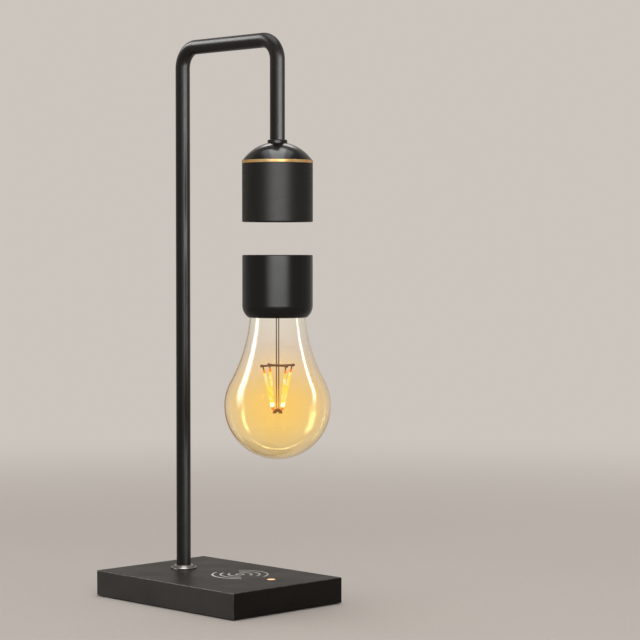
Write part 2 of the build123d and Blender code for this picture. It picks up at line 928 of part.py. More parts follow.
def lead_wires():
    """Two wires that carry the filaments, and their tails up to the driver board."""
    wires = []
    for side in (-1, 1):
        x, y, low = polar(side * (lead_radius + lead_gap / 2), lead_turn, bridge_top)
        wires.append(at_head(disc(lead_radius, low, stem_bottom, x, y)))
        x, y, low = polar(side * (tail_radius + tail_gap / 2), lead_turn, stem_top)
        wires.append(at_head(disc(tail_radius, low, driver_bottom, x, y)))
    return wires


def stick_line(index):
    """The top and bottom points of one glowing stick's axis."""
    turn = stick_turn + index * quarter_turn
    top = Vector(*polar(stick_top_reach_length, turn, support_z - stick_top_drop_height))
    across = 1 if math.cos(math.radians(turn - lead_turn)) > 0 else -1
    behind = 1 if math.sin(math.radians(turn - lead_turn)) > 0 else -1
    low_z = belly_z - stick_bottom_drop_height
    bottom = Vector(*polar(across * stick_bottom_reach_length, lead_turn, low_z))
    bottom += Vector(*polar(behind * stick_bottom_side_length, lead_turn + 90, 0))
    return top, bottom


def filament_support():
    """A spider of four thin arms on the lead wires, each with a tab for one stick."""
    hub_low = support_z - support_hub_height / 2
    spider = disc(support_hub_radius, hub_low, hub_low + support_hub_height)
    for index in stick_indices:
        turn = stick_turn + index * quarter_turn
        end = polar(support_arm_length, turn, support_z)
        spider += rod((0, 0, support_z), end, support_arm_radius)
        spider += Pos(*end) * Sphere(support_knob_radius)
        top, bottom = stick_line(index)
        upward = (top - bottom).normalized()
        tab_start = top + upward * (stick_top_drop_height / upward.Z)
        spider += rod(tuple(top), tuple(tab_start), tab_radius)
    for side in (-1, 1):
        x, y, low = polar(side * (lead_radius + lead_gap / 2), lead_turn, hub_low - overrun)
        spider -= disc(lead_radius + fit_gap, low, support_z + support_hub_height, x, y)
    return at_head(spider)


def filament_sticks():
    sticks = []
    for index in stick_indices:
        top, bottom = stick_line(index)
        tip = (bottom - top).normalized() * tip_length
        sticks.append(at_head(rod(tuple(top + tip), tuple(bottom - tip), stick_radius)))
    return sticks


def filament_tips():
    tips = []
    for index in stick_indices:
        top, bottom = stick_line(index)
        tip = (bottom - top).normalized() * tip_length
        tips.append(at_head(rod(tuple(top), tuple(top + tip), tip_radius)))
        tips.append(at_head(rod(tuple(bottom - tip), tuple(bottom), tip_radius)))
    return tips


def lower_bridge():
    """The small bow that joins the lower ends of the sticks, with a leg at each end."""
    plate_low = bridge_top - bridge_height
    leg_low = plate_low - bridge_leg_height
    leg_x = (bridge_length - bridge_leg_length) / 2
    bow = block(bridge_length, bridge_width, plate_low, bridge_top)
    for side in (-1, 1):
        bow += block(bridge_leg_length, bridge_width, leg_low, plate_low, side * leg_x)
    return at_head(Rot(0, 0, lead_turn) * bow)


os.makedirs("parts", exist_ok=True)

save("base_shell", base_shell())
save("bottom_plate", bottom_plate())
save("non_slip_pad", non_slip_pad())
save("ballast_plate", ballast_plate())
save("bottom_screws", *[countersunk_screw(x, y, screw_length) for x, y in boss_places])
save("ballast_screws", *[countersunk_screw(x, y, ballast_screw_length) for x, y in ballast_screw_places])
save("main_board", main_board())
save("board_components", *board_components())
save("board_screws", *[board_screw(x, y) for x, y in board_places])
save("charging_coil", charging_coil())
save("charging_ferrite", charging_ferrite())
save("charging_mark", *charging_marks(base_top - mark_depth, base_top + mark_proud_height))
save("touch_lens", touch_lens())
save("touch_electrode", touch_electrode())
save("indicator_led", indicator_led())
save("dc_inlet", dc_inlet())
save("inlet_pin", inlet_pin())
save("inlet_wires", *[inlet_wire(side) for side in (-1, 1)])
save("cable_plug_base", cable_plug_base())

save("foot_flange", foot_flange())
save("arm_tube", arm_tube())
save("power_cable", power_cable())
save(
    "tube_nipples",
    nipple(post_x, base_top, -1, base_top_wall),
    nipple(head_x, land_z, -1, dome_boss_height),
)
save("tube_washers", washer(post_x, ceiling, -1), washer(head_x, land_z - dome_boss_height, -1))
save("tube_nuts", nut(post_x, ceiling, -1), nut(head_x, land_z - dome_boss_height, -1))

save("head_collar", head_collar())
save("head_dome", head_dome())
save("trim_ring", trim_ring())
save("head_shell", head_shell())
save("head_face", head_face())
save("hall_sensor", hall_sensor())
save("transmitter_coil", transmitter_coil())
save("iron_core", iron_core())
save("coil_bobbin", coil_bobbin())
save("magnet_winding", magnet_winding())
save("yoke_plate", yoke_plate())
save("board_spacers", *board_spacers())
save("control_board", control_board())
save("control_board_screws", *control_board_screws())
save("cable_plug_head", cable_plug_head())
save("coil_leads", *coil_leads())

save("levitation_magnet", levitation_magnet())
save("cap_shell", cap_shell())
save("cap_lid", cap_lid())
save("receiver_coil", receiver_coil())
save("receiver_leads", *receiver_leads())
save("magnet_carrier", magnet_carrier())
save("driver_board", driver_board())
save("driver_components", *driver_components())
save("driver_screws", *driver_screws())
save("neck_ring", neck_ring())
save("glass_envelope", glass_envelope())
save("glass_stem", glass_stem())
save("lead_wires", *lead_wires())
save("filament_support", filament_support())
save("filament_sticks", *filament_sticks())
save("filament_tips", *filament_tips())
save("lower_bridge", lower_bridge())
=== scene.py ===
import math

import bpy
from mathutils import Matrix, Vector


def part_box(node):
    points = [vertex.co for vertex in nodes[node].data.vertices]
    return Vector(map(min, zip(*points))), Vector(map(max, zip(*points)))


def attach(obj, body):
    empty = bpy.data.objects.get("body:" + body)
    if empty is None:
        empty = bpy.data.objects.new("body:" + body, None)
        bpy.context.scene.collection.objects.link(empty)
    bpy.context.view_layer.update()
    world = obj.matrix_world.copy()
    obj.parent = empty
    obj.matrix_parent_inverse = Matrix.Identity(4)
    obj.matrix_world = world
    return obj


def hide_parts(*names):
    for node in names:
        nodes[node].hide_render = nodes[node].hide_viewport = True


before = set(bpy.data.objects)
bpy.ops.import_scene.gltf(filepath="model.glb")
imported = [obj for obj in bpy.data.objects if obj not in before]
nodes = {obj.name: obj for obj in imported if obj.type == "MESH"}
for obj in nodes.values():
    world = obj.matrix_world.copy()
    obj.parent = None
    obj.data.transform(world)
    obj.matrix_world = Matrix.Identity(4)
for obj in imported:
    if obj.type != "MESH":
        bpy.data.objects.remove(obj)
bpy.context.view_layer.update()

# A levitating lamp, put together from the base up. Every length is in metres, in the frame of the model:
# the base's middle at X = 0, Y = 0, the table at Z = 0, and X running from the post towards the bulb.


# Base shell
# The flat box that the lamp stands on: a moulding in black ABS with a fine spark-eroded grain,
# small rounded edges that catch the light, and an open underside that a plate closes.
mm = 0.001


def select_only(piece):
    """Leaves one piece selected and active."""
    bpy.ops.object.select_all(action="DESELECT")
    piece.select_set(True)
    bpy.context.view_layer.objects.active = piece


def open_with(piece, kind, wanted):
    """Opens a piece in edit mode with only the wanted vertices, edges or faces selected."""
    select_only(piece)
    bpy.ops.object.mode_set(mode="EDIT")
    bpy.ops.mesh.select_mode(type=kind)
    bpy.ops.mesh.select_all(action="DESELECT")
    bpy.ops.object.mode_set(mode="OBJECT")
    mesh = piece.data
    items = {"VERT": mesh.vertices, "EDGE": mesh.edges, "FACE": mesh.polygons}[kind]
    for item in items:
        item.select = wanted(item)
    bpy.ops.object.mode_set(mode="EDIT")


def close_piece(piece):
    """Leaves edit mode with doubles merged and every face pointing outwards."""
    bpy.ops.object.mode_set(mode="EDIT")
    bpy.ops.mesh.select_all(action="SELECT")
    bpy.ops.mesh.remove_doubles(threshold=0.001 * mm)
    bpy.ops.mesh.normals_make_consistent(inside=False)
    bpy.ops.object.mode_set(mode="OBJECT")
    return piece


def settle(piece, name):
    """Names a new piece and puts its place, turn and size into its mesh."""
    piece.name = name
    piece.data.name = name
    select_only(piece)
    bpy.ops.object.transform_apply(location=True, rotation=True, scale=True)
    return piece


def apply_modifier(piece, kind, **settings):
    """Adds one modifier with its settings and applies it."""
    select_only(piece)
    modifier = piece.modifiers.new(kind.lower(), kind)
    for setting, value in settings.items():
        setattr(modifier, setting, value)
    bpy.ops.object.modifier_apply(modifier=modifier.name)


def smooth(piece, angle=30):
    """Shades a piece smooth, apart from edges sharper than an angle in degrees."""
    select_only(piece)
    bpy.ops.object.shade_smooth_by_angle(angle=math.radians(angle))


def new_block(name, low, high):
    """A box between two corners, to be shaped further."""
    bpy.ops.object.select_all(action="DESELECT")
    middle = [(a + b) / 2 for a, b in zip(low, high)]
    size = [b - a for a, b in zip(low, high)]
    bpy.ops.mesh.primitive_cube_add(size=1, location=middle, scale=size)
    return settle(bpy.context.active_object, name)


def new_rod(name, radius, start, end, sides=48):
    """A round rod from one point to another, to be shaped further or to cut a hole with."""
    bpy.ops.object.select_all(action="DESELECT")
    along = Vector(end) - Vector(start)
    turn = along.to_track_quat("Z", "Y").to_euler()
    middle = (Vector(start) + Vector(end)) / 2
    bpy.ops.mesh.primitive_cylinder_add(
        vertices=sides, radius=radius, depth=along.length, location=middle, rotation=turn
    )
    return settle(bpy.context.active_object, name)


def cut(piece, cutter):
    """Takes the shape of the cutter out of a piece."""
    apply_modifier(piece, "BOOLEAN", operation="DIFFERENCE", solver="EXACT", object=cutter)
    bpy.data.objects.remove(cutter)


def dress(piece, node, body, material):
    """Hides the CAD node that a piece takes the place of, and gives the piece what it moves with and what it
    is made of.
    """
    piece.data.materials.clear()
    piece.data.materials.append(material)
    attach(piece, body)
    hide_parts(node)


def linear(hex_colour):
    """An sRGB colour written as six hex digits, as the linear colour that a shader takes."""
    parts = [int(hex_colour[i : i + 2], 16) / 255 for i in (0, 2, 4)]
    return [p / 12.92 if p <= 0.04045 else ((p + 0.055) / 1.055) ** 2.4 for p in parts] + [1.0]


def add_node(tree, kind, values=None, links=None, stops=(), output=0, **settings):
    """Adds a shader node with its settings, socket values, links and ramp stops, and gives one output."""
    node = tree.nodes.new(kind)
    for setting, value in settings.items():
        setattr(node, setting, value)
    for socket, value in (values or {}).items():
        node.inputs[socket].default_value = value
    for socket, source in (links or {}).items():
        tree.links.new(source, node.inputs[socket])
    for index, (position, colour) in enumerate(stops):
        points = node.color_ramp.elements
        point = points[index] if index < 2 else points.new(position)
        point.position, point.color = position, linear(colour)
    return node.outputs[output]


def new_material(name, colour, roughness, **values):
    """A material with its shader's constants set, and the object's own coordinates for its patterns."""
    material = bpy.data.materials.new(name)
    material.use_nodes = True
    tree = material.node_tree
    shader = tree.nodes["Principled BSDF"].inputs
    shader["Base Color"].default_value = linear(colour)
    shader["Roughness"].default_value = roughness
    for socket, value in values.items():
        shader[socket.replace("_", " ")].default_value = value
    return material, tree, shader, add_node(tree, "ShaderNodeTexCoord", output="Object")


# A noise's values lie mostly between these two, so what it drives is spread from there.
noise_span = {"From Min": 0.3, "From Max": 0.7}

# Moulded ABS: a soft broad highlight, smudged by hands, over a grain that is drawn at 0.7 mm where
# the real one is 0.2 mm.
abs_black, tree, shader, place = new_material("moulded_black_abs", "1b1816", 0.45, Specular_IOR_Level=0.14)
smudges = add_node(tree, "ShaderNodeTexNoise", {"Scale": 1 / (22 * mm), "Detail": 3.0}, {"Vector": place})
dulling = {**noise_span, "To Min": 0.4, "To Max": 0.48}
tree.links.new(add_node(tree, "ShaderNodeMapRange", dulling, {"Value": smudges}), shader["Roughness"])
tone = add_node(tree, "ShaderNodeValToRGB", links={"Fac": smudges}, stops=((0.3, "191614"), (0.7, "201d1a")))
tree.links.new(tone, shader["Base Color"])
sparks = add_node(tree, "ShaderNodeTexNoise", {"Scale": 1 / (0.7 * mm)}, {"Vector": place})
grain = add_node(tree, "ShaderNodeBump", {"Distance": 0.02 * mm, "Strength": 0.5}, {"Height": sparks})
tree.links.new(grain, shader["Normal"])

# Rubbed ABS: hands and cloths have polished the edges smoother, and their paler colour is a painted
# highlight, a thin light line along them, with some wear.
highlit_edge_black, tree, shader, place = new_material("rubbed_black_abs_painted_highlight", "3a3734", 0.26)
wear_and_highlight = add_node(tree, "ShaderNodeTexNoise", {"Scale": 1 / (6 * mm), "Detail": 3.0}, {"Vector": place})
dulling = {**noise_span, "To Min": 0.2, "To Max": 0.34}
tree.links.new(add_node(tree, "ShaderNodeMapRange", dulling, {"Value": wear_and_highlight}), shader["Roughness"])
tone = add_node(tree, "ShaderNodeValToRGB", links={"Fac": wear_and_highlight}, stops=((0.3, "2c2927"), (0.7, "4a4743")))
tree.links.new(tone, shader["Base Color"])

base_low, base_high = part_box("base_shell")
base_wall = 2.2 * mm
base_ceiling = 2 * mm
base_edge = 0.6 * mm
touch_hole_radius = 3.25 * mm
nipple_hole_radius = 3.95 * mm
inlet_hole_radius = 4.2 * mm
touch_low, touch_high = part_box("touch_lens")
touch_x, touch_y = (touch_low.x + touch_high.x) / 2, (touch_low.y + touch_high.y) / 2
inlet_low, inlet_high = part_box("dc_inlet")
inlet_z = (inlet_low.z + inlet_high.z) / 2
flange_low, flange_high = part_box("foot_flange")
post_x = (flange_low.x + flange_high.x) / 2

base = new_block("base_moulding", base_low, base_high)
corners = base.data.vertices
open_with(base, "EDGE", lambda edge: any(corners[v].co.z > base_low.z + base_wall for v in edge.vertices))
bpy.ops.mesh.bevel(offset=base_edge, segments=4)
bpy.ops.object.mode_set(mode="OBJECT")
open_with(base, "FACE", lambda face: face.normal.z < -0.99)
bpy.ops.mesh.inset(thickness=base_wall)
hollow_height = base_high.z - base_low.z - base_ceiling
bpy.ops.mesh.extrude_region_move(TRANSFORM_OT_translate={"value": (0, 0, hollow_height)})
close_piece(base)

# Each hole's cutter starts in the hollow and ends outside the shell, or the other way round.
inside_z = base_high.z - 2 * base_ceiling
above_z = base_high.z + base_ceiling
touch_start, touch_end = (touch_x, touch_y, inside_z), (touch_x, touch_y, above_z)
cut(base, new_rod("touch_hole", touch_hole_radius, touch_start, touch_end))
cut(base, new_rod("post_hole", nipple_hole_radius, (post_x, 0, inside_z), (post_x, 0, above_z)))
inlet_start, inlet_end = base_low.x - 2 * base_wall, base_low.x + 2 * base_wall
cut(base, new_rod("inlet_hole", inlet_hole_radius, (inlet_start, 0, inlet_z), (inlet_end, 0, inlet_z)))
smooth(base)
apply_modifier(base, "WEIGHTED_NORMAL", keep_sharp=True)
dress(base, "base_shell", "root", abs_black)


# In degrees from the box's own faces.
least_tilt = 14


def is_rounded_edge(face):
    """A face of the rounding round the outside of the box, apart from the strips next to its flat faces."""
    tilted = max(abs(n) for n in face.normal) < math.cos(math.radians(least_tilt))
    outside = abs(face.center.x) > base_high.x - mm or abs(face.center.y) > base_high.y - mm
    return tilted and outside


# The rounded edges get the pale material: a painted highlight line along the box's edges.
base.data.materials.append(highlit_edge_black)
open_with(base, "FACE", is_rounded_edge)
base.active_material_index = 1
bpy.ops.object.material_slot_assign()
bpy.ops.object.mode_set(mode="OBJECT")


# Underside
# A plate set flush in the shell, held by countersunk steel screws, and one sheet of soft rubber
# glued under it, which is all that touches the table.
def soften(piece, width, segments=3, angle=30):
    """Rounds a piece's sharp edges and shades it smooth, with its flats left flat."""
    sharp = math.radians(angle)
    apply_modifier(piece, "BEVEL", width=width, segments=segments, limit_method="ANGLE", angle_limit=sharp)
    smooth(piece, angle)
    apply_modifier(piece, "WEIGHTED_NORMAL", keep_sharp=True)


def paint(node, material):
    """Gives a CAD node, which keeps its own shape, its material."""
    nodes[node].data.materials.clear()
    nodes[node].data.materials.append(material)


# Soft rubber: nearly no shine, with shallow ribs 4.5 mm apart that grip the table.
pad_rubber, tree, shader, place = new_material("soft_black_rubber", "1d1c1b", 0.85, Specular_IOR_Level=0.3)
ribs = add_node(tree, "ShaderNodeTexWave", {"Scale": 1 / (9 * mm)}, {"Vector": place}, output="Fac")
ridges = add_node(tree, "ShaderNodeBump", {"Distance": 0.1 * mm, "Strength": 0.6}, {"Height": ribs})
tree.links.new(ridges, shader["Normal"])
dust = add_node(tree, "ShaderNodeTexNoise", {"Scale": 1 / (15 * mm), "Detail": 4.0}, {"Vector": place})
tone = add_node(tree, "ShaderNodeValToRGB", links={"Fac": dust}, stops=((0.35, "1a1918"), (0.7, "282624")))
tree.links.new(tone, shader["Base Color"])

pad_low, pad_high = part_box("non_slip_pad")
pad_corner = 4 * mm
pad = new_block("rubber_pad", pad_low, pad_high)
corners = pad.data.vertices
open_with(pad, "EDGE", lambda edge: len({corners[v].co.z for v in edge.vertices}) == 2)
bpy.ops.mesh.bevel(offset=pad_corner, segments=8)
close_piece(pad)
soften(pad, width=0.15 * mm, segments=2)
dress(pad, "non_slip_pad", "root", pad_rubber)
paint("bottom_plate", abs_black)

# Zinc-plated steel: pale, slightly blue, with the faint mottling of its passivation.
zinc_steel, tree, shader, place = new_material("zinc_plated_steel", "b9bbc0", 0.35, Metallic=1.0)
mottle = add_node(tree, "ShaderNodeTexNoise", {"Scale": 1 / (2 * mm), "Detail": 4.0}, {"Vector": place})
dulling = {**noise_span, "To Min": 0.28, "To Max": 0.42}
tree.links.new(add_node(tree, "ShaderNodeMapRange", dulling, {"Value": mottle}), shader["Roughness"])
for node in ("bottom_screws", "ballast_screws", "board_screws"):
    paint(node, zinc_steel)


# Printed mark
# The charger's mark on top of the base: nested strokes in light grey pad-printing ink, a few
# hundredths of a millimetre thick. Its form is plain arcs round a small ring.
# Printing ink: flat and opaque, with painted light across it: whiter towards its -Y side and greyer towards
# its +Y side.
mark_ink, tree, shader, place = new_material("pad_printed_grey_ink", "d8d5d1", 0.5)
mark_low, mark_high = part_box("charging_mark")
side_way = add_node(tree, "ShaderNodeSeparateXYZ", links={"Vector": place}, output="Y")
spread = {"From Min": mark_low.y, "From Max": mark_high.y}
# Painted light and shade: this value, named thickness, makes the mark whiter on its -Y side and greyer on its
# +Y side.
thickness = add_node(tree, "ShaderNodeMapRange", spread, {"Value": side_way})
ink_lit_to_shaded_stops = ((0.0, "f4f2ef"), (0.35, "dedbd7"), (1.0, "b2aeaa"))
ink = add_node(tree, "ShaderNodeValToRGB", links={"Fac": thickness}, stops=ink_lit_to_shaded_stops)
speckle = add_node(tree, "ShaderNodeTexNoise", {"Scale": 1 / (1.1 * mm), "Detail": 4.0}, {"Vector": place})
pinholes = {"From Min": 0.35, "From Max": 0.65, "To Min": 0.25, "To Max": 0.0}
thin = add_node(tree, "ShaderNodeMapRange", pinholes, {"Value": speckle})
faded = add_node(tree, "ShaderNodeMixRGB", {"Color2": linear("8f8b87")}, {"Fac": thin, "Color1": ink})
tree.links.new(faded, shader["Base Color"])
paint("charging_mark", mark_ink)


# Touch spot
# A light pipe in clear acrylic, lit from below by a warm LED, set in a narrow dark groove.
# Touching it turns the lamp on and off.
lens_radius = 3 * mm
lens_depth = 2.8 * mm

# Lit acrylic: creamy in the middle, over the LED, and falling to brown at the edge, where no light leaves.
lit_acrylic, tree, shader, place = new_material("lit_warm_acrylic", "ffd9a8", 0.25, Emission_Strength=0.75)
lens_middle = {"Location": (-touch_x, -touch_y, -base_high.z)}
centred = add_node(tree, "ShaderNodeMapping", lens_middle, {"Vector": place})
spread = add_node(tree, "ShaderNodeVectorMath", links={0: centred}, output="Value", operation="LENGTH")
across = add_node(tree, "ShaderNodeMapRange", {"From Max": lens_radius}, {"Value": spread})
glow_stops = ((0.0, "ffdcae"), (0.6, "ffc382"), (0.85, "e89040"), (1.0, "5a3416"))
glow = add_node(tree, "ShaderNodeValToRGB", links={"Fac": across}, stops=glow_stops)
tree.links.new(glow, shader["Emission Color"])

lens_start, lens_end = (touch_x, touch_y, base_high.z - lens_depth), (touch_x, touch_y, touch_high.z)
lens = new_rod("touch_light_pipe", lens_radius, lens_start, lens_end)
soften(lens, width=0.08 * mm, segments=2)
dress(lens, "touch_lens", "root", lit_acrylic)


# Foot flange
# A turned steel ring that covers the hole under the post: a low lip outside, a groove, and a
# taller collar that the tube stands in. It is plated and polished by handling.
def new_turning(name, outline, axis_x, sides=96, filled=False):
    """A turned piece: a circle drawn along an outline of (radius, height) points, hollow or solid."""
    radius, height = outline[0]
    fill = "NGON" if filled else "NOTHING"
    middle = (axis_x, 0, height)
    bpy.ops.object.select_all(action="DESELECT")
    bpy.ops.mesh.primitive_circle_add(vertices=sides, radius=radius, fill_type=fill, location=middle)
    piece = settle(bpy.context.active_object, name)
    bpy.ops.object.mode_set(mode="EDIT")
    bpy.ops.mesh.select_mode(type="VERT")
    bpy.ops.mesh.select_all(action="SELECT")
    for (old_radius, old_height), (radius, height) in zip(outline, outline[1:]):
        bpy.ops.mesh.extrude_region_move(TRANSFORM_OT_translate={"value": (0, 0, height - old_height)})
        if radius == 0:
            bpy.ops.mesh.merge(type="CENTER")
            break
        share = radius / old_radius
        bpy.ops.transform.resize(value=(share, share, 1), center_override=(axis_x, 0, height))
    return close_piece(piece)


# Black nickel: a dark mirror, with the haze of a polish that hands have dulled in patches.
black_nickel, tree, shader, place = new_material("polished_black_nickel", "8a8784", 0.25, Metallic=1.0)
handled = add_node(tree, "ShaderNodeTexNoise", {"Scale": 1 / (5 * mm), "Detail": 3.0}, {"Vector": place})
dulling = {**noise_span, "To Min": 0.22, "To Max": 0.32}
tree.links.new(add_node(tree, "ShaderNodeMapRange", dulling, {"Value": handled}), shader["Roughness"])

tube_low, tube_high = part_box("arm_tube")
tube_radius = tube_high.y
fit_gap = 0.05 * mm
flange_radius = (flange_high.x - flange_low.x) / 2
flange_bore = tube_radius + fit_gap
flange_collar = 6.9 * mm
flange_lip_top = flange_low.z + 1.3 * mm
flange_lip_width = 0.9 * mm
groove_z = flange_low.z + 0.7 * mm
chamfer = 0.4 * mm
flange = new_turning(
    "foot_flange_ring",
    (
        (flange_bore, flange_low.z),
        (flange_radius, flange_low.z),
        (flange_radius, flange_lip_top - chamfer),
        (flange_radius - chamfer, flange_lip_top),
        (flange_radius - flange_lip_width, flange_lip_top),
        (flange_radius - flange_lip_width, groove_z),
        (flange_collar, groove_z),
        (flange_collar, flange_high.z - 2 * chamfer),
        (flange_collar - chamfer, flange_high.z),
        (flange_bore, flange_high.z),
        (flange_bore, flange_low.z),
    ),
    post_x,
)
soften(flange, width=0.12 * mm)
dress(flange, "foot_flange", "root", black_nickel)


# Post and arm
# One steel tube, 10 mm across, bent twice on a mandrel: up, along, and down to the head. Its coat
# is baked on, so it has one even sheen from end to end.
# Black powder coat: a satin skin whose faint orange peel is about 1 mm across.
coat_black, tree, shader, place = new_material("black_powder_coat", "100e0c", 0.32, Specular_IOR_Level=0.2)
uneven = add_node(tree, "ShaderNodeTexNoise", {"Scale": 1 / (14 * mm), "Detail": 3.0}, {"Vector": place})
dulling = {**noise_span, "To Min": 0.29, "To Max": 0.36}
tree.links.new(add_node(tree, "ShaderNodeMapRange", dulling, {"Value": uneven}), shader["Roughness"])
peel = add_node(tree, "ShaderNodeTexNoise", {"Scale": 1 / (1.1 * mm)}, {"Vector": place})
skin = add_node(tree, "ShaderNodeBump", {"Distance": 0.008 * mm, "Strength": 0.5}, {"Height": peel})
tree.links.new(skin, shader["Normal"])

arm_z = tube_high.z - tube_radius
head_x = tube_high.x - tube_radius
bend = 14 * mm
tube_wall = 1.1 * mm
dome_low, dome_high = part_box("head_dome")

bpy.ops.object.select_all(action="DESELECT")
bpy.ops.mesh.primitive_circle_add(vertices=64, radius=tube_radius, location=(post_x, 0, tube_low.z))
tube = settle(bpy.context.active_object, "bent_tube")
bpy.ops.object.mode_set(mode="EDIT")
bpy.ops.mesh.select_mode(type="VERT")
bpy.ops.mesh.select_all(action="SELECT")
bpy.ops.mesh.extrude_region_move(TRANSFORM_OT_translate={"value": (0, 0, arm_z - bend - tube_low.z)})
first_centre, second_centre = (post_x + bend, 0, arm_z - bend), (head_x - bend, 0, arm_z - bend)
quarter = {"steps": 24, "angle": -math.pi / 2, "axis": (0, 1, 0), "use_auto_merge": False}
bpy.ops.mesh.spin(center=first_centre, **quarter)
bpy.ops.mesh.extrude_region_move(TRANSFORM_OT_translate={"value": (head_x - post_x - 2 * bend, 0, 0)})
bpy.ops.mesh.spin(center=second_centre, **quarter)
bpy.ops.mesh.extrude_region_move(TRANSFORM_OT_translate={"value": (0, 0, dome_high.z - arm_z + bend)})
close_piece(tube)
apply_modifier(tube, "SOLIDIFY", thickness=tube_wall, offset=-1)
smooth(tube, angle=40)
dress(tube, "arm_tube", "root", coat_black)


# Head collar
# A small ring, rounded on top, that hides the joint between the tube and the dome. It is coated
# together with the tube.
def arc(centre_radius, centre_height, radius, start, end, steps):
    """Points of an arc in an outline, from one angle in degrees to another."""
    angles = [math.radians(start + (end - start) * i / steps) for i in range(steps + 1)]
    return [(centre_radius + radius * math.cos(a), centre_height + radius * math.sin(a)) for a in angles]


collar_low, collar_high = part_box("head_collar")
collar_radius = collar_high.x - head_x
collar_bore = tube_radius + fit_gap
collar_rounding = 0.8 * mm
collar = new_turning(
    "head_collar_ring",
    [(collar_bore, collar_low.z), (collar_radius, collar_low.z)]
    + arc(collar_radius - collar_rounding, collar_high.z - collar_rounding, collar_rounding, 0, 90, 6)
    + [(collar_bore, collar_high.z), (collar_bore, collar_low.z)],
    head_x,
)
soften(collar, width=0.08 * mm, segments=2)
dress(collar, "head_collar", "root", coat_black)


# Dome
# The head's cover: a shallow dome, moulded and lacquered to a piano finish, with a small flat on
# top where the tube is clamped. A rim inside it drops into the head.
# Piano lacquer: deep and sharp, so that lamps above it show as one bright patch with clear sides.
dome_black, tree, shader, place = new_material("black_piano_lacquer", "0e0c0b", 0.2, Specular_IOR_Level=0.2)
flow = add_node(tree, "ShaderNodeTexNoise", {"Scale": 1 / (9 * mm), "Detail": 3.0}, {"Vector": place})
dulling = {**noise_span, "To Min": 0.17, "To Max": 0.23}
tree.links.new(add_node(tree, "ShaderNodeMapRange", dulling, {"Value": flow}), shader["Roughness"])

ring_low, ring_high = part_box("trim_ring")
dome_sphere = 28.35 * mm
dome_land = 7 * mm
dome_radius = 23.3 * mm
dome_wall = 2 * mm
head_wall = 1.8 * mm
spigot_radius = dome_radius - head_wall
spigot_wall = 1.5 * mm
boss_radius = 8.5 * mm
boss_z = dome_high.z - 3 * mm
dome_centre = dome_high.z - math.sqrt(dome_sphere**2 - dome_land**2)
dome_start = math.degrees(math.acos(dome_radius / dome_sphere))
dome_end = math.degrees(math.acos(dome_land / dome_sphere))

# The wall's inner arc stops short of the boss, at its top, and of the rim that drops into the head.
inner_start, inner_end = dome_end - 4, dome_start + 8
dome = new_turning(
    "lacquered_dome",
    [(spigot_radius, dome_low.z), (spigot_radius, ring_high.z)]
    + arc(0, dome_centre, dome_sphere, dome_start, dome_end, 24)
    + [(nipple_hole_radius, dome_high.z), (nipple_hole_radius, boss_z), (boss_radius, boss_z)]
    + arc(0, dome_centre, dome_sphere - dome_wall, inner_start, inner_end, 12)
    + [(spigot_radius - spigot_wall, dome_low.z), (spigot_radius, dome_low.z)],
    head_x,
    sides=128,
)
soften(dome, width=0.15 * mm)
dress(dome, "head_dome", "root", dome_black)


# Trim ring
# A band of brass between the dome and the head, turned and polished, with fine lathe lines
# round it that stretch its highlights.
# Turned brass: warm gold, where the lathe lines, drawn 0.25 mm apart, run round the ring.
polished_brass, tree, shader, place = new_material("turned_polished_brass", "dcb276", 0.34, Metallic=1.0)
stretched = add_node(tree, "ShaderNodeMapping", {"Scale": (0.02, 0.02, 1.0)}, {"Vector": place})
line_spacing = {"Scale": 1 / (0.25 * mm), "Detail": 3.0}
lathe_lines = add_node(tree, "ShaderNodeTexNoise", line_spacing, {"Vector": stretched})
dulling = {**noise_span, "To Min": 0.29, "To Max": 0.4}
tree.links.new(add_node(tree, "ShaderNodeMapRange", dulling, {"Value": lathe_lines}), shader["Roughness"])
tarnish = add_node(tree, "ShaderNodeTexNoise", {"Scale": 1 / (9 * mm), "Detail": 3.0}, {"Vector": place})
brass_stops = ((0.32, "b98650"), (0.5, "dcb276"), (0.68, "efd2a0"))
tone = add_node(tree, "ShaderNodeValToRGB", links={"Fac": tarnish}, stops=brass_stops)
tree.links.new(tone, shader["Base Color"])

ring_radius = ring_high.x - head_x
ring_width = 2 * mm
ring_bore = ring_radius - ring_width
trim = new_turning(
    "brass_trim_ring",
    (
        (ring_bore, ring_low.z),
        (ring_radius, ring_low.z),
        (ring_radius, ring_high.z),
        (ring_bore, ring_high.z),
        (ring_bore, ring_low.z),
    ),
    head_x,
    sides=128,
)
soften(trim, width=0.3 * mm, segments=4)
dress(trim, "trim_ring", "root", polished_brass)


# Head shell and face
# The drum that holds the electromagnet: aluminium tube, turned and anodised satin black. A flat
# disc closes it from below, set in behind a narrow lip.
# Satin anodising: a soft band of light down its front, over turning lines 0.6 mm apart.
anodised_black, tree, shader, place = new_material(
    "satin_black_anodising", "0e0d0b", 0.42, Specular_IOR_Level=0.18
)
stretched = add_node(tree, "ShaderNodeMapping", {"Scale": (0.03, 0.03, 1.0)}, {"Vector": place})
turned_lines = add_node(tree, "ShaderNodeTexNoise", {"Scale": 1 / (0.6 * mm)}, {"Vector": stretched})
dulling = {**noise_span, "To Min": 0.39, "To Max": 0.46}
tree.links.new(add_node(tree, "ShaderNodeMapRange", dulling, {"Value": turned_lines}), shader["Roughness"])
lines = add_node(tree, "ShaderNodeBump", {"Distance": 0.004 * mm, "Strength": 0.5}, {"Height": turned_lines})
tree.links.new(lines, shader["Normal"])

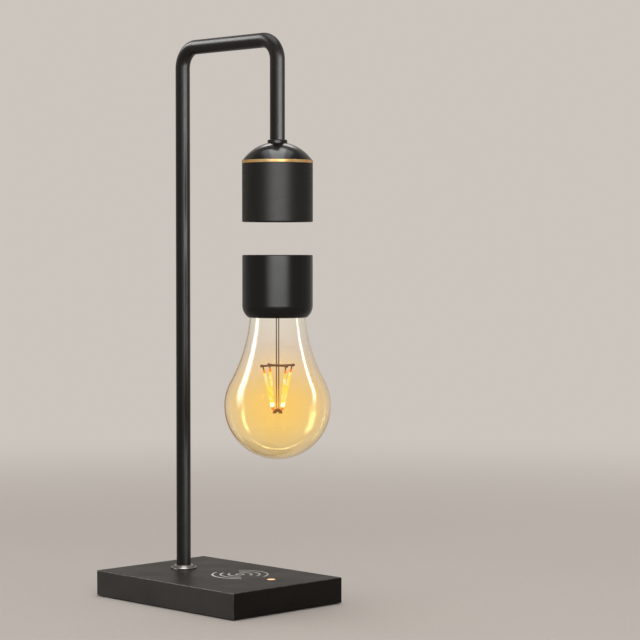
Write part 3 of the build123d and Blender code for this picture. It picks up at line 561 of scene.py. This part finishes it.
shell_low, shell_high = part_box("head_shell")
head_radius = shell_high.x - head_x
head_inner = head_radius - head_wall
head_lip_width = 0.5 * mm
head_lip_height = 1.2 * mm
lip_inner = head_inner - head_lip_width
head_chamfer = 0.4 * mm
shell = new_turning(
    "head_drum",
    (
        (lip_inner, shell_low.z),
        (head_radius - head_chamfer, shell_low.z),
        (head_radius, shell_low.z + head_chamfer),
        (head_radius, shell_high.z),
        (head_inner, shell_high.z),
        (head_inner, shell_low.z + head_lip_height),
        (lip_inner, shell_low.z + head_lip_height),
        (lip_inner, shell_low.z),
    ),
    head_x,
    sides=128,
)
soften(shell, width=0.15 * mm, segments=2)
dress(shell, "head_shell", "root", anodised_black)


def new_disc(name, low, high, border=0):
    """A round disc on the head's axis between two corners, with a flat border set off below if it has one."""
    radius = high.x - head_x
    outline = ((radius, low.z), (radius, high.z), (radius / 2, high.z), (0, high.z))
    disc = new_turning(name, outline, head_x)
    corners = disc.data.vertices
    open_with(disc, "EDGE", lambda edge: all(corners[v].co.z < low.z + 0.01 * mm for v in edge.vertices))
    bpy.ops.mesh.edge_face_add()
    if border:
        bpy.ops.mesh.inset(thickness=border)
    return close_piece(disc)


face_disc = new_disc("head_face_disc", *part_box("head_face"), border=6 * mm)
soften(face_disc, width=0.1 * mm, segments=2)
dress(face_disc, "head_face", "root", anodised_black)


# Cap
# The bulb's cap: black moulding, straight and then rounded in to the glass, with a lid set a
# little below its rim. Its magnet and coil are under the lid.
# Polished moulding: smoother than the base, so that the light down its front is one clear band.
cap_black, tree, shader, place = new_material(
    "polished_black_moulding", "0c0b0a", 0.24, Specular_IOR_Level=0.15
)
handled = add_node(tree, "ShaderNodeTexNoise", {"Scale": 1 / (11 * mm), "Detail": 3.0}, {"Vector": place})
dulling = {**noise_span, "To Min": 0.21, "To Max": 0.27}
tree.links.new(add_node(tree, "ShaderNodeMapRange", dulling, {"Value": handled}), shader["Roughness"])
waves = add_node(tree, "ShaderNodeTexNoise", {"Scale": 1 / (4 * mm)}, {"Vector": place})
moulded = add_node(tree, "ShaderNodeBump", {"Distance": 0.006 * mm, "Strength": 0.4}, {"Height": waves})
tree.links.new(moulded, shader["Normal"])

cap_low, cap_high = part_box("cap_shell")
cap_radius = cap_high.x - head_x
cap_wall = 2.6 * mm
cap_bore = cap_radius - cap_wall
cap_mouth = 19.3 * mm
cap_edge = 0.4 * mm
lid_low, lid_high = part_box("cap_lid")
lid_radius = lid_high.x - head_x
lid_seat = lid_radius + fit_gap

# The cap rounds in over this height and width, in an arc that is upright at its top.
round_height, round_width = 8 * mm, 4 * mm
round_radius = (round_width**2 + round_height**2) / (2 * round_width)
round_sweep = math.degrees(math.asin(round_height / round_radius))
shoulder_z = cap_low.z + round_height
cap = new_turning(
    "bulb_cap",
    [(cap_mouth, cap_low.z)]
    + arc(cap_radius - round_radius, shoulder_z, round_radius, -round_sweep, 0, 12)
    + [
        (cap_radius, cap_high.z - cap_edge),
        (cap_radius - cap_edge, cap_high.z),
        (lid_seat, cap_high.z),
        (lid_seat, lid_low.z),
        (cap_bore, lid_low.z),
        (cap_bore, shoulder_z),
        (cap_mouth, shoulder_z),
        (cap_mouth, cap_low.z),
    ],
    head_x,
    sides=128,
)
soften(cap, width=0.12 * mm, angle=25)
dress(cap, "cap_shell", "bulb", cap_black)

lid = new_disc("bulb_cap_lid", lid_low, lid_high)
soften(lid, width=0.15 * mm, segments=2)
dress(lid, "cap_lid", "bulb", abs_black)


# Glass
# The bulb: blown glass 0.8 mm thick, clear at the neck and warming to amber round the belly, where the glass
# is given a faint painted glow that stands for the light inside.
glass_low, glass_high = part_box("glass_envelope")
glass_wall = 0.8 * mm
belly_radius = glass_high.x - head_x
belly_z = glass_low.z + belly_radius
neck_radius = 18.3 * mm
neck_tail = 4 * mm
neck_z = glass_high.z - neck_tail

# The neck widens in a hollow curve of this radius, which touches the belly's at this angle in degrees.
neck_rise = neck_z - belly_z
hollow_radius = (neck_rise**2 + neck_radius**2 - belly_radius**2) / (2 * (belly_radius - neck_radius))
meeting = math.degrees(math.atan2(neck_rise, neck_radius + hollow_radius))

# Blown glass: clear with a faint olive rim, where the eye looks along the wall. A pale tint colours what is
# seen through the belly, and the glass has a painted glow of its own, amber low down and grey near the neck,
# strongest where it is seen square on.
amber_glass, tree, shader, place = new_material(
    "blown_amber_glass", "ffffff", 0.0, IOR=1.45, Transmission_Weight=1.0
)
height = add_node(tree, "ShaderNodeSeparateXYZ", links={"Vector": place}, output="Z")
amber_z, clear_z = belly_z + 4 * mm, belly_z + 46 * mm
belly_span = {"From Min": amber_z, "From Max": clear_z, "To Min": 1.0, "To Max": 0.0}
belly = add_node(tree, "ShaderNodeMapRange", belly_span, {"Value": height}, interpolation_type="SMOOTHSTEP")
facing = add_node(tree, "ShaderNodeLayerWeight", {"Blend": 0.5}, output="Facing")
square_on = add_node(tree, "ShaderNodeMapRange", {"From Min": 0.75, "From Max": 0.0}, {"Value": facing})
warmth = add_node(tree, "ShaderNodeMath", links={0: square_on, 1: belly}, operation="MULTIPLY")
tint_stops = ((0.0, "fffefa"), (0.5, "fffbe2"), (1.0, "fff7bc"))
tint = add_node(tree, "ShaderNodeValToRGB", links={"Fac": warmth}, stops=tint_stops)
rim_stops = ((0.6, "ffffff"), (0.82, "efe8d0"), (0.93, "c4b98e"))
rim = add_node(tree, "ShaderNodeValToRGB", links={"Fac": facing}, stops=rim_stops)
seen_through = add_node(
    tree, "ShaderNodeMixRGB", {"Fac": 1.0}, {"Color1": tint, "Color2": rim}, blend_type="MULTIPLY"
)
tree.links.new(seen_through, shader["Base Color"])
up_span = {"From Min": glass_low.z, "From Max": glass_high.z}
up = add_node(tree, "ShaderNodeMapRange", up_span, {"Value": height})
glow_stops = (
    (0.0, "ffbc78"),
    (0.2, "ffaa54"),
    (0.36, "ffa244"),
    (0.54, "f09a46"),
    (0.68, "b07c4c"),
    (0.82, "aa9c84"),
    (1.0, "b8b0a2"),
)
glow = add_node(tree, "ShaderNodeValToRGB", links={"Fac": up}, stops=glow_stops)
tree.links.new(glow, shader["Emission Color"])
# Painted glow: the glass gives off a little light of its own, most where it is seen square on.
painted_glow_strength = add_node(tree, "ShaderNodeMath", {1: 0.1}, {0: square_on}, operation="MULTIPLY")
tree.links.new(painted_glow_strength, shader["Emission Strength"])
wall_tone = {"Color": linear("b9b08a"), "Density": 60.0}
wall = add_node(tree, "ShaderNodeVolumeAbsorption", wall_tone)
tree.links.new(wall, tree.nodes["Material Output"].inputs["Volume"])

# The belly's arc leaves out this many degrees where it meets the neck's curve, and before the pole.
arc_gap = 1.5
glass = new_turning(
    "glass_bulb",
    [(neck_radius, glass_high.z)]
    + arc(neck_radius + hollow_radius, neck_z, hollow_radius, 180, 180 + meeting, 48)
    + arc(0, belly_z, belly_radius, meeting - arc_gap, arc_gap - 90, 90)
    + [(0, glass_low.z)],
    head_x,
    sides=192,
)
apply_modifier(glass, "SOLIDIFY", thickness=glass_wall, offset=-1, use_even_offset=True)
smooth(glass, angle=40)
dress(glass, "glass_envelope", "bulb", amber_glass)
paint("glass_stem", amber_glass)


# Glowing set
# Four coated sticks that glow, hung from a thin brown cross and drawn together on a small bow
# below. Orange ends are where the sticks meet their metal. Two dark wires carry it all.
support_z = belly_z + 26.6 * mm
bridge_top = belly_z - 3.2 * mm

# Nickel wire: dark at the top, and golden lower down, where the sticks light it.
wire_dark, tree, shader, place = new_material("dark_nickel_wire", "2a2010", 0.4, Specular_IOR_Level=0.1)
wire_height = add_node(tree, "ShaderNodeSeparateXYZ", links={"Vector": place}, output="Z")
lit_span = {"From Min": bridge_top, "From Max": support_z}
up = add_node(tree, "ShaderNodeMapRange", lit_span, {"Value": wire_height})
wire_stops = ((0.0, "a8842a"), (0.35, "6a4e14"), (0.8, "1e1406"), (1.0, "0e0a06"))
tone = add_node(tree, "ShaderNodeValToRGB", links={"Fac": up}, stops=wire_stops)
tree.links.new(tone, shader["Base Color"])
lit_stops = ((0.0, "c8921a"), (0.5, "4a3006"), (0.8, "000000"))
lit = add_node(tree, "ShaderNodeValToRGB", links={"Fac": up}, stops=lit_stops)
tree.links.new(lit, shader["Emission Color"])
shader["Emission Strength"].default_value = 0.5

# Heat-stained steel: nearly black, with brown and orange patches that are partly heat stain and partly a
# painted glow from the sticks.
support_brown, tree, shader, place = new_material("heat_stained_steel_with_painted_glow", "160902", 0.6, Specular_IOR_Level=0.1)
stain_and_glow = add_node(tree, "ShaderNodeTexNoise", {"Scale": 1 / (2.2 * mm), "Detail": 3.0}, {"Vector": place})
stain_and_glow_stops = ((0.4, "0e0401"), (0.55, "2c1004"), (0.68, "8a4208"))
tone = add_node(tree, "ShaderNodeValToRGB", links={"Fac": stain_and_glow}, stops=stain_and_glow_stops)
tree.links.new(tone, shader["Base Color"])

# Phosphor coat: a pale yellow light, uneven, with paler spots where the coat is thin and white-hot
# lower ends.
stick_glow, tree, shader, place = new_material(
    "glowing_yellow_phosphor", "2a2210", 0.7, Specular_IOR_Level=0.1
)
patches = add_node(tree, "ShaderNodeTexNoise", {"Scale": 1 / (4 * mm), "Detail": 1.0}, {"Vector": place})
coat_stops = ((0.36, "f4dc50"), (0.47, "f6e866"), (0.57, "f8ee8c"), (0.66, "fdf8d4"), (0.74, "ffffff"))
coat = add_node(tree, "ShaderNodeValToRGB", links={"Fac": patches}, stops=coat_stops)
stick_height = add_node(tree, "ShaderNodeSeparateXYZ", links={"Vector": place}, output="Z")
hot_z, cooler_z = belly_z + 1.6 * mm, belly_z + 2.6 * mm
hot_span = {"From Min": hot_z, "From Max": cooler_z, "To Min": 1.0, "To Max": 0.0}
hot = add_node(tree, "ShaderNodeMapRange", hot_span, {"Value": stick_height}, interpolation_type="SMOOTHSTEP")
whitened = add_node(tree, "ShaderNodeMixRGB", {"Color2": linear("eef4ff")}, {"Fac": hot, "Color1": coat})
tree.links.new(whitened, shader["Emission Color"])
brightness = add_node(tree, "ShaderNodeMapRange", {"To Min": 0.95, "To Max": 1.8}, {"Value": hot})
tree.links.new(brightness, shader["Emission Strength"])

# Glowing ends: the same coat over bare metal, which dims it to orange.
tip_glow, tree, shader, place = new_material("glowing_orange_end", "1a0a02", 0.7, Specular_IOR_Level=0.1)
flicker = add_node(tree, "ShaderNodeTexNoise", {"Scale": 1 / (1.2 * mm)}, {"Vector": place})
tip_stops = ((0.35, "f05c00"), (0.65, "ff9a08"))
ember = add_node(tree, "ShaderNodeValToRGB", links={"Fac": flicker}, stops=tip_stops)
tree.links.new(ember, shader["Emission Color"])
shader["Emission Strength"].default_value = 0.95


def lay(piece, start, end):
    """Turns a piece that was made up the Z axis, so that it runs from one point towards another."""
    along = Vector(end) - Vector(start)
    piece.rotation_euler = along.to_track_quat("Z", "Y").to_euler()
    piece.location = start
    return settle(piece, piece.name)


def join(name, members):
    """Makes one piece of several, named after what they are together."""
    bpy.ops.object.select_all(action="DESELECT")
    for member in members:
        member.select_set(True)
    bpy.context.view_layer.objects.active = members[0]
    bpy.ops.object.join()
    return settle(members[0], name)


rounded_sweep = 80


def round_rod(name, radii, length, rounding):
    """A rod up the Z axis, with a radius at its foot and one at its top, and ends rounded to a small flat."""
    foot = arc(radii[0] - rounding, rounding, rounding, -rounded_sweep, 0, 4)
    top = arc(radii[1] - rounding, length - rounding, rounding, 0, rounded_sweep, 4)
    return new_turning(name, foot + top, 0, sides=24, filled=True)


def around(radius, turn, z):
    """A point round the lamp head's axis, by its distance, its turn in degrees and its height."""
    angle = math.radians(turn)
    return Vector((head_x + radius * math.cos(angle), radius * math.sin(angle), z))


# Turns are in degrees round the bulb's axis, and a pair of radii is that at a rod's foot and at its top.
stick_count = 4
stick_turn = 76.3
lead_turn = 46.3
hub_radius = 1.7 * mm
hub_chamfer = 0.4 * mm
hub_half_height = 0.8 * mm
arm_reach = 12.2 * mm
knob_radius = 1 * mm
knob_start = 1.6 * mm
top_reach, top_drop = 10.5 * mm, 2.5 * mm
foot_reach, foot_side, foot_drop = 3 * mm, 1.1 * mm, 2.9 * mm
hook_radii = (0.5 * mm, 0.45 * mm)
hook_overlap = 0.4 * mm
hook_rounding = 0.2 * mm
top_tip_radii = (0.75 * mm, 0.8 * mm)
foot_tip_radii = (0.95 * mm, 1.0 * mm)
tip_length = 2.4 * mm
tip_rounding = 0.3 * mm
stick_radii = (0.9 * mm, 1.1 * mm)
stick_cover = 2 * mm
stick_rounding = 0.7 * mm

# Each arm is drawn up the Z axis: a slim rod, a little thinner in its first half, with a knob at its end.
arm_outline = [
    (0.62 * mm, 1.2 * mm),
    (0.6 * mm, 5 * mm),
    (0.66 * mm, arm_reach - knob_start),
    *arc(0, arm_reach, knob_radius, -40, rounded_sweep, 8)[1:],
]

hub = new_turning(
    "spider_hub",
    (
        (hub_radius - hub_chamfer, support_z - hub_half_height),
        (hub_radius, support_z - hub_half_height / 2),
        (hub_radius, support_z + hub_half_height / 2),
        (hub_radius - hub_chamfer, support_z + hub_half_height),
    ),
    head_x,
    sides=32,
    filled=True,
)
spider_parts = [hub]
stick_parts = []
tip_parts = []
for index in range(stick_count):
    turn = stick_turn + 360 / stick_count * index
    arm = new_turning("arm", arm_outline, 0, sides=24, filled=True)
    spider_parts.append(lay(arm, around(0, 0, support_z), around(arm_reach, turn, support_z)))

    top = around(top_reach, turn, support_z - top_drop)
    across = math.copysign(foot_reach, math.cos(math.radians(turn - lead_turn)))
    behind = math.copysign(foot_side, math.sin(math.radians(turn - lead_turn)))
    bottom = around(across, lead_turn, belly_z - foot_drop)
    bottom = bottom + around(behind, lead_turn + 90, 0) - around(0, 0, 0)
    down = (bottom - top).normalized()
    hook_start = top + down * (top_drop / down.z)
    hook = round_rod("hook", hook_radii, top_drop + hook_overlap, hook_rounding)
    spider_parts.append(lay(hook, hook_start, top))
    tip_parts.append(lay(round_rod("tip", top_tip_radii, tip_length, tip_rounding), top, bottom))
    tip_parts.append(lay(round_rod("tip", foot_tip_radii, tip_length, tip_rounding), bottom, top))
    length = (bottom - top).length - 2 * stick_cover
    stick = round_rod("stick", stick_radii, length, stick_rounding)
    stick_parts.append(lay(stick, top + down * stick_cover, bottom))

spider = join("filament_spider", spider_parts)
soften(spider, width=0.06 * mm, segments=2, angle=50)
dress(spider, "filament_support", "bulb", support_brown)
sticks = join("glowing_sticks", stick_parts)
smooth(sticks, angle=60)
dress(sticks, "filament_sticks", "bulb", stick_glow)
tips = join("orange_stick_ends", tip_parts)
smooth(tips, angle=60)
dress(tips, "filament_tips", "bulb", tip_glow)

# The bow is one thick strip bent over in half a turn: the strip's section is spun about the middle.
bow_outer, bow_inner, bow_depth = 3.25 * mm, 0.9 * mm, 3.6 * mm
bow_squash = 0.95
bow_top = bridge_top + 1.2 * mm
half_thick = 0.05 * mm
bow = new_block("lower_bow", (bow_inner, -bow_depth / 2, -half_thick), (bow_outer, bow_depth / 2, half_thick))
open_with(bow, "FACE", lambda face: face.normal.z > 0.9)
bpy.ops.mesh.spin(steps=16, angle=math.pi, center=(0, 0, 0), axis=(0, 1, 0), use_auto_merge=False)
close_piece(bow)
bow.scale = (1, 1, bow_squash)
bow.rotation_euler = (0, 0, math.radians(lead_turn))
bow.location = (head_x, 0, bow_top - bow_outer * bow_squash)
settle(bow, "lower_bow")
soften(bow, width=0.5 * mm)
dress(bow, "lower_bridge", "bulb", support_brown)

lead_radii = (0.38 * mm, 0.38 * mm)
lead_rounding = 0.1 * mm
lead_pitch = 1.54 * mm
lead_top = cap_low.z + 2.4 * mm
leads = []
for side in (-1, 1):
    foot = around(side * lead_pitch / 2, lead_turn, bridge_top)
    wire = round_rod("lead", lead_radii, lead_top - bridge_top, lead_rounding)
    leads.append(lay(wire, foot, foot + Vector((0, 0, 1))))
wires = join("pair_of_lead_wires", leads)
smooth(wires, angle=60)
dress(wires, "lead_wires", "bulb", wire_dark)


# Power inlet
# A moulded jack with a plated pin in the rear end of the base. A plug of 5.5 mm fits it.
# Moulded nylon: a plain satin black with a fine sparkle from its glass fibres.
jack_black, tree, shader, place = new_material("moulded_black_nylon", "201f1e", 0.45)
fibres = add_node(tree, "ShaderNodeTexNoise", {"Scale": 1 / (0.5 * mm)}, {"Vector": place})
sparkle = add_node(tree, "ShaderNodeBump", {"Distance": 0.01 * mm, "Strength": 0.5}, {"Height": fibres})
tree.links.new(sparkle, shader["Normal"])
paint("dc_inlet", jack_black)
paint("inlet_pin", polished_brass)


# Electronics and magnets
# What is closed inside the base, the head and the cap: boards in green solder mask, copper
# windings, ferrite, steel and nickel, black jackets and natural nylon.
# Each has its common colour, roughness and metal, and a mottling of its surface 2 mm across.
inside = (
    ("green_solder_mask", "1f5a34", "184a2a", 0.3, 0.0, ("main_board", "control_board", "driver_board")),
    ("enamelled_copper_winding", "b5632f", "9c5226", 0.35, 1.0,
     ("charging_coil", "transmitter_coil", "receiver_coil", "magnet_winding", "coil_leads", "receiver_leads",
      "touch_electrode")),
    ("sintered_ferrite", "2a2a2c", "222224", 0.8, 0.0, ("charging_ferrite",)),
    ("nickel_plated_magnet", "c9c4bb", "bcb6ab", 0.2, 1.0, ("levitation_magnet",)),
    ("natural_nylon", "d8d5c9", "cdc9ba", 0.5, 0.0,
     ("cable_plug_base", "cable_plug_head", "coil_bobbin", "magnet_carrier", "neck_ring")),
    ("black_jacket", "1c1b1b", "242322", 0.5, 0.0,
     ("board_components", "driver_components", "hall_sensor", "inlet_wires", "power_cable")),
)
for name, colour, second_colour, roughness, metallic, members in inside:
    material, tree, shader, place = new_material(name, colour, roughness, Metallic=metallic)
    mottle = add_node(tree, "ShaderNodeTexNoise", {"Scale": 1 / (2 * mm), "Detail": 3.0}, {"Vector": place})
    mottle_stops = ((0.35, colour), (0.65, second_colour))
    tone = add_node(tree, "ShaderNodeValToRGB", links={"Fac": mottle}, stops=mottle_stops)
    tree.links.new(tone, shader["Base Color"])
    for node in members:
        paint(node, material)
for node in (
    "ballast_plate", "iron_core", "yoke_plate", "tube_nipples", "tube_washers", "tube_nuts", "board_spacers",
    "control_board_screws", "driver_screws",
):
    paint(node, zinc_steel)
paint("indicator_led", lit_acrylic)


# Studio
# A pale paper floor that curves up all round, so that every view has the same plain ground. Far
# from the lamp it shows one even pale tone, and round the lamp it takes its light and shadow.
floor_pale, tree, shader, place = new_material("matt_warm_paper", "cbc4bd", 0.9, Specular_IOR_Level=0.2)
fibres = add_node(tree, "ShaderNodeTexNoise", {"Scale": 1 / (3 * mm), "Detail": 4.0}, {"Vector": place})
tone = add_node(tree, "ShaderNodeValToRGB", links={"Fac": fibres}, stops=((0.3, "c9c2bb"), (0.7, "cdc6bf")))
tree.links.new(tone, shader["Base Color"])
flat = add_node(tree, "ShaderNodeMapping", {"Scale": (1, 1, 0)}, {"Vector": place})
away = add_node(tree, "ShaderNodeVectorMath", links={0: flat}, output="Value", operation="LENGTH")
fading = {"From Min": 0.25, "From Max": 1.3}
far = add_node(tree, "ShaderNodeMapRange", fading, {"Value": away}, interpolation_type="SMOOTHSTEP")
seen = add_node(tree, "ShaderNodeLightPath", output="Is Camera Ray")
for ray in ("Is Glossy Ray", "Is Transmission Ray"):
    other = add_node(tree, "ShaderNodeLightPath", output=ray)
    seen = add_node(tree, "ShaderNodeMath", links={0: seen, 1: other}, operation="ADD", use_clamp=True)
seen = add_node(tree, "ShaderNodeMath", links={0: seen, 1: far}, operation="MULTIPLY")
backdrop = add_node(tree, "ShaderNodeEmission", {"Color": linear("ccc5be")})
paper = tree.nodes["Principled BSDF"].outputs["BSDF"]
mixed = add_node(tree, "ShaderNodeMixShader", links={0: seen, 1: paper, 2: backdrop})
tree.links.new(mixed, tree.nodes["Material Output"].inputs["Surface"])

floor_radius = 2.6
inner_radius = 1.0
cove_radius = 1.6
wall_top = 4.2
floor = new_turning(
    "studio_floor",
    [(floor_radius + cove_radius, wall_top)]
    + arc(floor_radius, cove_radius, cove_radius, 0, -90, 24)
    + [(inner_radius, 0), (0, 0)],
    0,
    sides=128,
)
smooth(floor, angle=60)
floor.data.materials.append(floor_pale)

# Light panels, placed as seen by the camera. They light only the pieces named in lit, or all but those
# in kept_out.
lamp_middle = 0.2
view_turn = math.radians(45.7)
nearer = Vector((math.sin(view_turn), -math.cos(view_turn), 0))
rightwards = Vector((math.cos(view_turn), math.sin(view_turn), 0))


def studio_point(near, right, height):
    """A point in the room, by how much nearer, how far right and how high it is from the bulb's axis."""
    return Vector((head_x, 0, height)) + nearer * near + rightwards * right


def new_panel(name, start, end, width, radiance, fades, lit=(), kept_out=()):
    """A soft panel that faces the lamp, from one end's middle to the other's, in the camera's own directions.

    Its light fades towards the edges, over the given shares of its width and of its length.
    """
    start, end = studio_point(*start), studio_point(*end)
    long_way = (end - start).normalized()
    back = (start + end) / 2 - studio_point(0, 0, lamp_middle)
    back = (back - long_way * back.dot(long_way)).normalized()
    data = bpy.data.lights.new(name, "AREA")
    data.shape = "RECTANGLE"
    data.size, data.size_y = width, (end - start).length

    # An area light of this energy has the radiance asked for, before it fades.
    data.energy = radiance * math.pi * data.size * data.size_y
    data.use_nodes = True
    tree = data.node_tree
    spot = add_node(tree, "ShaderNodeNewGeometry", output="Parametric")
    strength = tree.nodes["Emission"].inputs["Strength"]
    parts = []
    for axis, fade in zip("XY", fades):
        run = add_node(tree, "ShaderNodeSeparateXYZ", links={"Vector": spot}, output=axis)
        inwards = add_node(tree, "ShaderNodeMath", {1: 0.5}, {0: run}, operation="PINGPONG")
        fading = {"From Max": fade / 2}
        parts.append(
            add_node(tree, "ShaderNodeMapRange", fading, {"Value": inwards}, interpolation_type="SMOOTHSTEP")
        )
    faded = add_node(tree, "ShaderNodeMath", links=dict(enumerate(parts)), operation="MULTIPLY")
    tree.links.new(faded, strength)
    lamp = bpy.data.objects.new(name, data)
    lamp.matrix_world = Matrix((long_way.cross(back), long_way, back)).transposed().to_4x4()
    lamp.location = (start + end) / 2
    lamp.visible_camera = False
    bpy.context.scene.collection.objects.link(lamp)
    pieces = bpy.data.collections.new(name + "_pieces")
    for piece in (*lit, *kept_out):
        pieces.objects.link(piece)
    lamp.light_linking.receiver_collection = pieces
    for member in pieces.collection_objects:
        member.light_linking.link_state = "INCLUDE" if lit else "EXCLUDE"


new_panel(
    "front_panel", (1.95, 0.24, 0.02), (1.95, 0.24, 1.62),
    width=2.3, radiance=2.4, fades=(0.35, 0.35), kept_out=[glass, base],
)
new_panel(
    "band_panel", (1.95, 0.1, 0.02), (1.95, 0.1, 1.05),
    width=3.7, radiance=12.0, fades=(0.75, 0.3), lit=[shell, cap, collar],
)
new_panel(
    "tube_panel", (0.45, 0.45, 0.01), (0.45, 0.45, 0.62),
    width=0.8, radiance=14.0, fades=(0.3, 0.3), lit=[tube],
)
new_panel(
    "arm_panel", (-0.25, -0.7, 0.6), (-0.25, -0.7, 1.15),
    width=0.7, radiance=12.0, fades=(0.4, 0.4), lit=[tube],
)
new_panel(
    "side_panel", (0.23, -1.28, 0.02), (0.23, -1.28, 1.2),
    width=1.0, radiance=12.0, fades=(0.3, 0.3), lit=[base],
)
new_panel(
    "overhead_panel", (-0.8, 0, 1.75), (0.7, 0, 1.75),
    width=1.6, radiance=3.1, fades=(0.3, 0.3), kept_out=[glass],
)
new_panel(
    "dome_panel", (-0.7, 0, 1.7), (0.7, 0, 1.7),
    width=0.75, radiance=6.5, fades=(0.2, 0.2), lit=[dome, flange],
)
new_panel(
    "rear_panel", (-1.3, 0, 1.05), (-1.3, 0, 1.6),
    width=1.0, radiance=5.0, fades=(0.4, 0.4), lit=[dome, collar],
)
new_panel(
    "left_strip", (0.15, -1.0, 0.03), (-0.38, -1.0, 1.25),
    width=0.5, radiance=9.0, fades=(0.8, 0.8), lit=[glass],
)
new_panel(
    "right_strip", (0.15, 1.0, 0.03), (-0.38, 1.0, 1.25),
    width=0.26, radiance=10.0, fades=(0.8, 0.8), lit=[glass],
)
new_panel(
    "bottom_arc_strip", (-0.92, -1.7, 1.75), (-0.92, 1.7, 1.75),
    width=0.12, radiance=12.0, fades=(0.8, 0.8), lit=[glass],
)

world = bpy.data.worlds.new("soft_room")
world.use_nodes = True
world.node_tree.nodes["Background"].inputs["Color"].default_value = linear("f4f1ee")
world.node_tree.nodes["Background"].inputs["Strength"].default_value = 0.4
bpy.context.scene.world = world
bpy.context.scene.view_settings.view_transform = "Standard"


# Camera
# A long lens a little above the bulb's cap, tipped down slightly, as the picture was drawn.
camera_data = bpy.data.cameras.new("camera")
camera_data.sensor_width = 36
camera_data.lens = 119.55
camera = bpy.data.objects.new("camera", camera_data)
camera.location = (1.0892, -0.9659, 0.2403)
tipped_down, turned = 1.886, 45.672
camera.rotation_euler = (math.radians(90 - tipped_down), 0, math.radians(turned))
bpy.context.scene.collection.objects.link(camera)
bpy.context.scene.camera = camera
